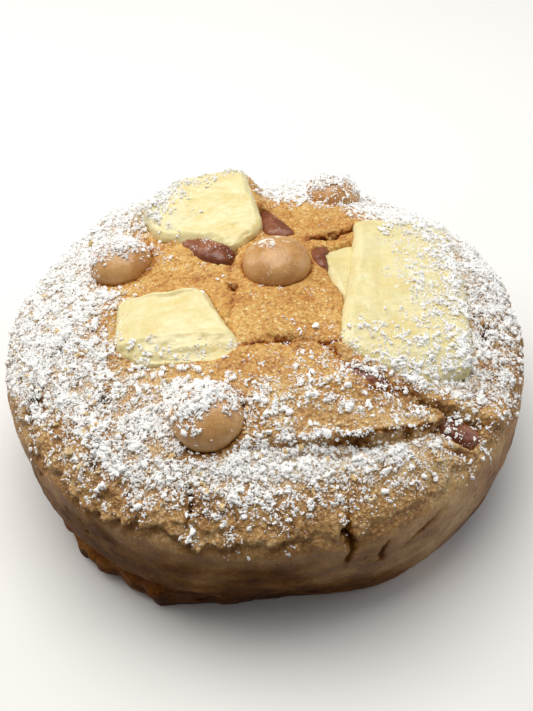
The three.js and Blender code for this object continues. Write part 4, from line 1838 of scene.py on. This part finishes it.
@dataclass
class SiftedIcing:
    """The icing sugar on the whole cookie: one mesh for each size of sugar, each landed on the last.

    It falls within a radius and stays on what is higher than lowest and faces up: none stays where
    the ground is steeper than the first level, and all of it where it is flatter than the second.
    """

    cover: SugarCover = field(default_factory=SugarCover)
    reach: float = 48.4
    lowest: float = 20.0
    level: tuple[float, float] = (0.2, 0.75)
    batches: int = 5
    flat: float = 0.85
    tries: int = 12
    # The relief that draws sugar together: each layer's strength, size in millimetres and seed.
    drifts: tuple[tuple[float, float, int], ...] = ((0.8, 4.2, 80), (1.9, 1.7, 81), (0.9, 0.9, 82))

    def build(self, ground: Ground) -> list[bpy.types.Object]:
        """Sifts sugar over the cookie.

        Args:
            ground: The cookie's top, which the sugar lands on.

        Returns:
            One mesh for each kind of sugar.
        """
        made = []
        for seed, (kind, size) in enumerate(SUGAR_SIZES.items(), start=11):
            rng = np.random.default_rng(seed)
            shapes = Shapes.made_of(size.faces, size.beads, rng)
            plan = self.spots(ground, size, rng)
            across = size.smallest + (size.largest - size.smallest) * rng.random(len(plan)) ** 1.5
            batches = [slice(start, None, self.batches) for start in range(self.batches)]
            landed = [ground.land(plan[batch], across[batch], self.flat) for batch in batches]
            across = np.concatenate([across[batch] for batch in batches])
            middles, ways = (np.concatenate(parts) for parts in zip(*landed))
            turns = lying(ways, rng, squash=(0.7, 1.1))
            made.append(shapes.scattered(f"sugar_{kind.value}", middles, turns, across, rng))
        return made

    def spots(self, ground: Ground, size: SugarSize, rng: np.random.Generator) -> np.ndarray:
        """Picks where sugar of one size comes down, more where the cover is thicker and in loose groups.

        Args:
            ground: What it lands on.
            size: The kind of sugar.
            rng: The source of the places.

        Returns:
            The places in plan.
        """
        tries = int(self.tries * size.count / size.gather)
        radius, turn = self.reach * np.sqrt(rng.random(tries)), rng.random(tries) * 2 * np.pi
        plan = np.column_stack([radius * np.cos(turn), radius * np.sin(turn)])
        cells, cover = ground.cells(plan), self.cover
        layers = cover.layers(plan)
        # The sugar drifts together less where it lies thick.
        drawn = np.minimum(1.0, 1.4 / (0.4 + layers))
        gathered = np.exp(drawn * sum(high * noise(plan, wide, seed) for high, wide, seed in self.drifts))
        share = (size.stray * cover.left_by(cover.less, plan) + (1 - size.stray) * layers) * gathered
        share *= smoothstep(*self.level, ground.ways[cells][:, 2]) * (ground.heights[cells] > self.lowest)
        if size.beads > 1:
            share *= cover.left_by(cover.smooth, plan)
        total = np.cumsum(share)
        wanted = rng.random(round(size.count / size.gather)) * total[-1]
        chosen = np.unique(np.searchsorted(total, wanted))
        picks = chosen[rng.integers(0, len(chosen), size.count)]
        picks[: len(chosen)] = chosen
        spots = plan[picks] + rng.normal(0, size.spread * size.largest, (size.count, 2))
        return spots[ground.bare[ground.cells(spots)] > self.lowest]


# ---------------------------------------------------------------------------------------------------
# Studio


@dataclass
class Studio:
    """A pale floor, soft light from above and behind, and the camera where the photo was taken from."""

    aim: tuple[float, float, float] = (0.95, 0.0, 18.8)
    distance: float = 182.0
    elevation: float = 44.5
    roll: float = 2.8
    lens: float = 48.35
    # What the lamps point at, and how strong the sky is.
    lit: tuple[float, float, float] = (0.0, 0.0, 20.0)
    sky: float = 0.2

    def build(self) -> None:
        """Sets the floor, the lights and the camera."""
        self.lay_floor()
        self.hang_lights()
        self.place_camera()

    def lay_floor(self) -> None:
        """Lays a wide flat floor under the cookie."""
        bpy.ops.object.select_all(action="DESELECT")
        bpy.ops.mesh.primitive_plane_add(size=6.0, location=(0, 0, 0))
        floor = bpy.context.active_object
        floor.name = "studio_floor"
        floor.data.materials.append(MattePaint().material())
        floor.visible_diffuse = False

    def hang_lights(self) -> None:
        """Hangs a large softbox overhead, towards the back, a weaker one at each side, and a faint sky."""
        lamps = (
            ("overhead_softbox", (-40, 90, 460), 420, 2.15, "#fffdf8"),
            ("left_softbox", (-380, 160, 260), 260, 0.6, "#fffaf2"),
            ("right_softbox", (420, 60, 180), 260, 0.34, "#f8f9ff"),
        )
        for name, place, across, power, colour in lamps:
            lamp = bpy.data.lights.new(name, "AREA")
            lamp.size = across * MM
            lamp.energy = power
            lamp.color = linear(colour)[:3]
            holder = bpy.data.objects.new(name, lamp)
            holder.location = Vector(place) * MM
            ray = Vector(self.lit) * MM - holder.location
            holder.rotation_euler = ray.to_track_quat("-Z", "Y").to_euler()
            bpy.context.scene.collection.objects.link(holder)
        world = bpy.data.worlds.new("studio_sky")
        world.use_nodes = True
        background = world.node_tree.nodes["Background"]
        background.inputs["Color"].default_value = linear("#ffffff")
        background.inputs["Strength"].default_value = self.sky
        bpy.context.scene.world = world
        bpy.context.scene.view_settings.view_transform = "Standard"

    def place_camera(self) -> None:
        """Puts the camera at the photo's angle, a little rolled as it was held."""
        rise, lean = math.radians(self.elevation), math.radians(self.roll)
        right, up = Vector((1, 0, 0)), Vector((0, math.sin(rise), math.cos(rise)))
        ahead = Vector((0, math.cos(rise), -math.sin(rise)))
        across = right * math.cos(lean) - up * math.sin(lean)
        upright = up * math.cos(lean) + right * math.sin(lean)
        camera = bpy.data.cameras.new("camera")
        camera.lens = self.lens
        camera.sensor_width = 36.0
        camera.clip_start = 0.01
        holder = bpy.data.objects.new("camera", camera)
        turn = Matrix((across, upright, -ahead)).transposed().to_4x4()
        holder.matrix_world = Matrix.Translation((Vector(self.aim) - ahead * self.distance) * MM) @ turn
        bpy.context.scene.collection.objects.link(holder)
        bpy.context.scene.camera = holder


# ---------------------------------------------------------------------------------------------------
# The whole cookie


def build_dough(nodes: dict[str, bpy.types.Object], crust: bpy.types.Material) -> bpy.types.Object:
    """Builds and dresses the dough.

    Args:
        nodes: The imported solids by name.
        crust: The dough's material.

    Returns:
        The dough.
    """
    slabs = {name: node for name, node in nodes.items() if name.startswith("white_slab")}
    chunks = {name: node for name, node in nodes.items() if name.startswith("milk_chunk")}
    drops = [node for name, node in nodes.items() if name.startswith("caramel_drop")]
    dough = DoughRound().build(nodes["cookie_dough"], slabs, chunks, drops)
    settle(dough, Slot.DOUGH, crust, "cookie_dough")
    return dough


def build_toppings(nodes: dict[str, bpy.types.Object]) -> list[bpy.types.Object]:
    """Builds and dresses the slabs, the drops and the chunks.

    Args:
        nodes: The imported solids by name.

    Returns:
        The toppings.
    """
    toppings = []
    finishes = (
        ("white_slab", WhiteSlab, WHITE_CHOCOLATE, Slot.WHITE),
        ("caramel_drop", CaramelDrop, CARAMEL_CHOCOLATE, Slot.CARAMEL),
        ("milk_chunk", MilkChunk, MILK_CHOCOLATE, Slot.MILK),
    )
    for prefix, kind, chocolate, slot in finishes:
        material = chocolate.material()
        names = sorted(name for name in nodes if name.startswith(prefix))
        for seed, name in enumerate(names):
            piece = kind(name, seed=100 + 10 * seed).build(nodes[name])
            up = smoothstep(0.3, 0.8, normals_of(piece)[:, 2])
            set_attribute(piece, "film", up * SugarCover().film(points_of(piece)[:, :2]))
            settle(piece, slot, material, name)
            toppings.append(piece)
    return toppings


def main() -> None:
    """Builds every piece of the cookie and its studio."""
    logging.basicConfig(level=logging.INFO, format="%(message)s")
    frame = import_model()
    nodes = frame["nodes"]
    Studio().build()

    crust = BakedCrust().material()
    dough = build_dough(nodes, crust)
    ground = Ground.under([dough, *build_toppings(nodes)])
    settle(LooseCrumbs().build(ground), Slot.DOUGH, crust)
    sugar = SiftedSugar().material()
    for piece in SiftedIcing().build(ground):
        settle(piece, Slot.SUGAR, sugar)


if __name__ == "__main__":
    main()
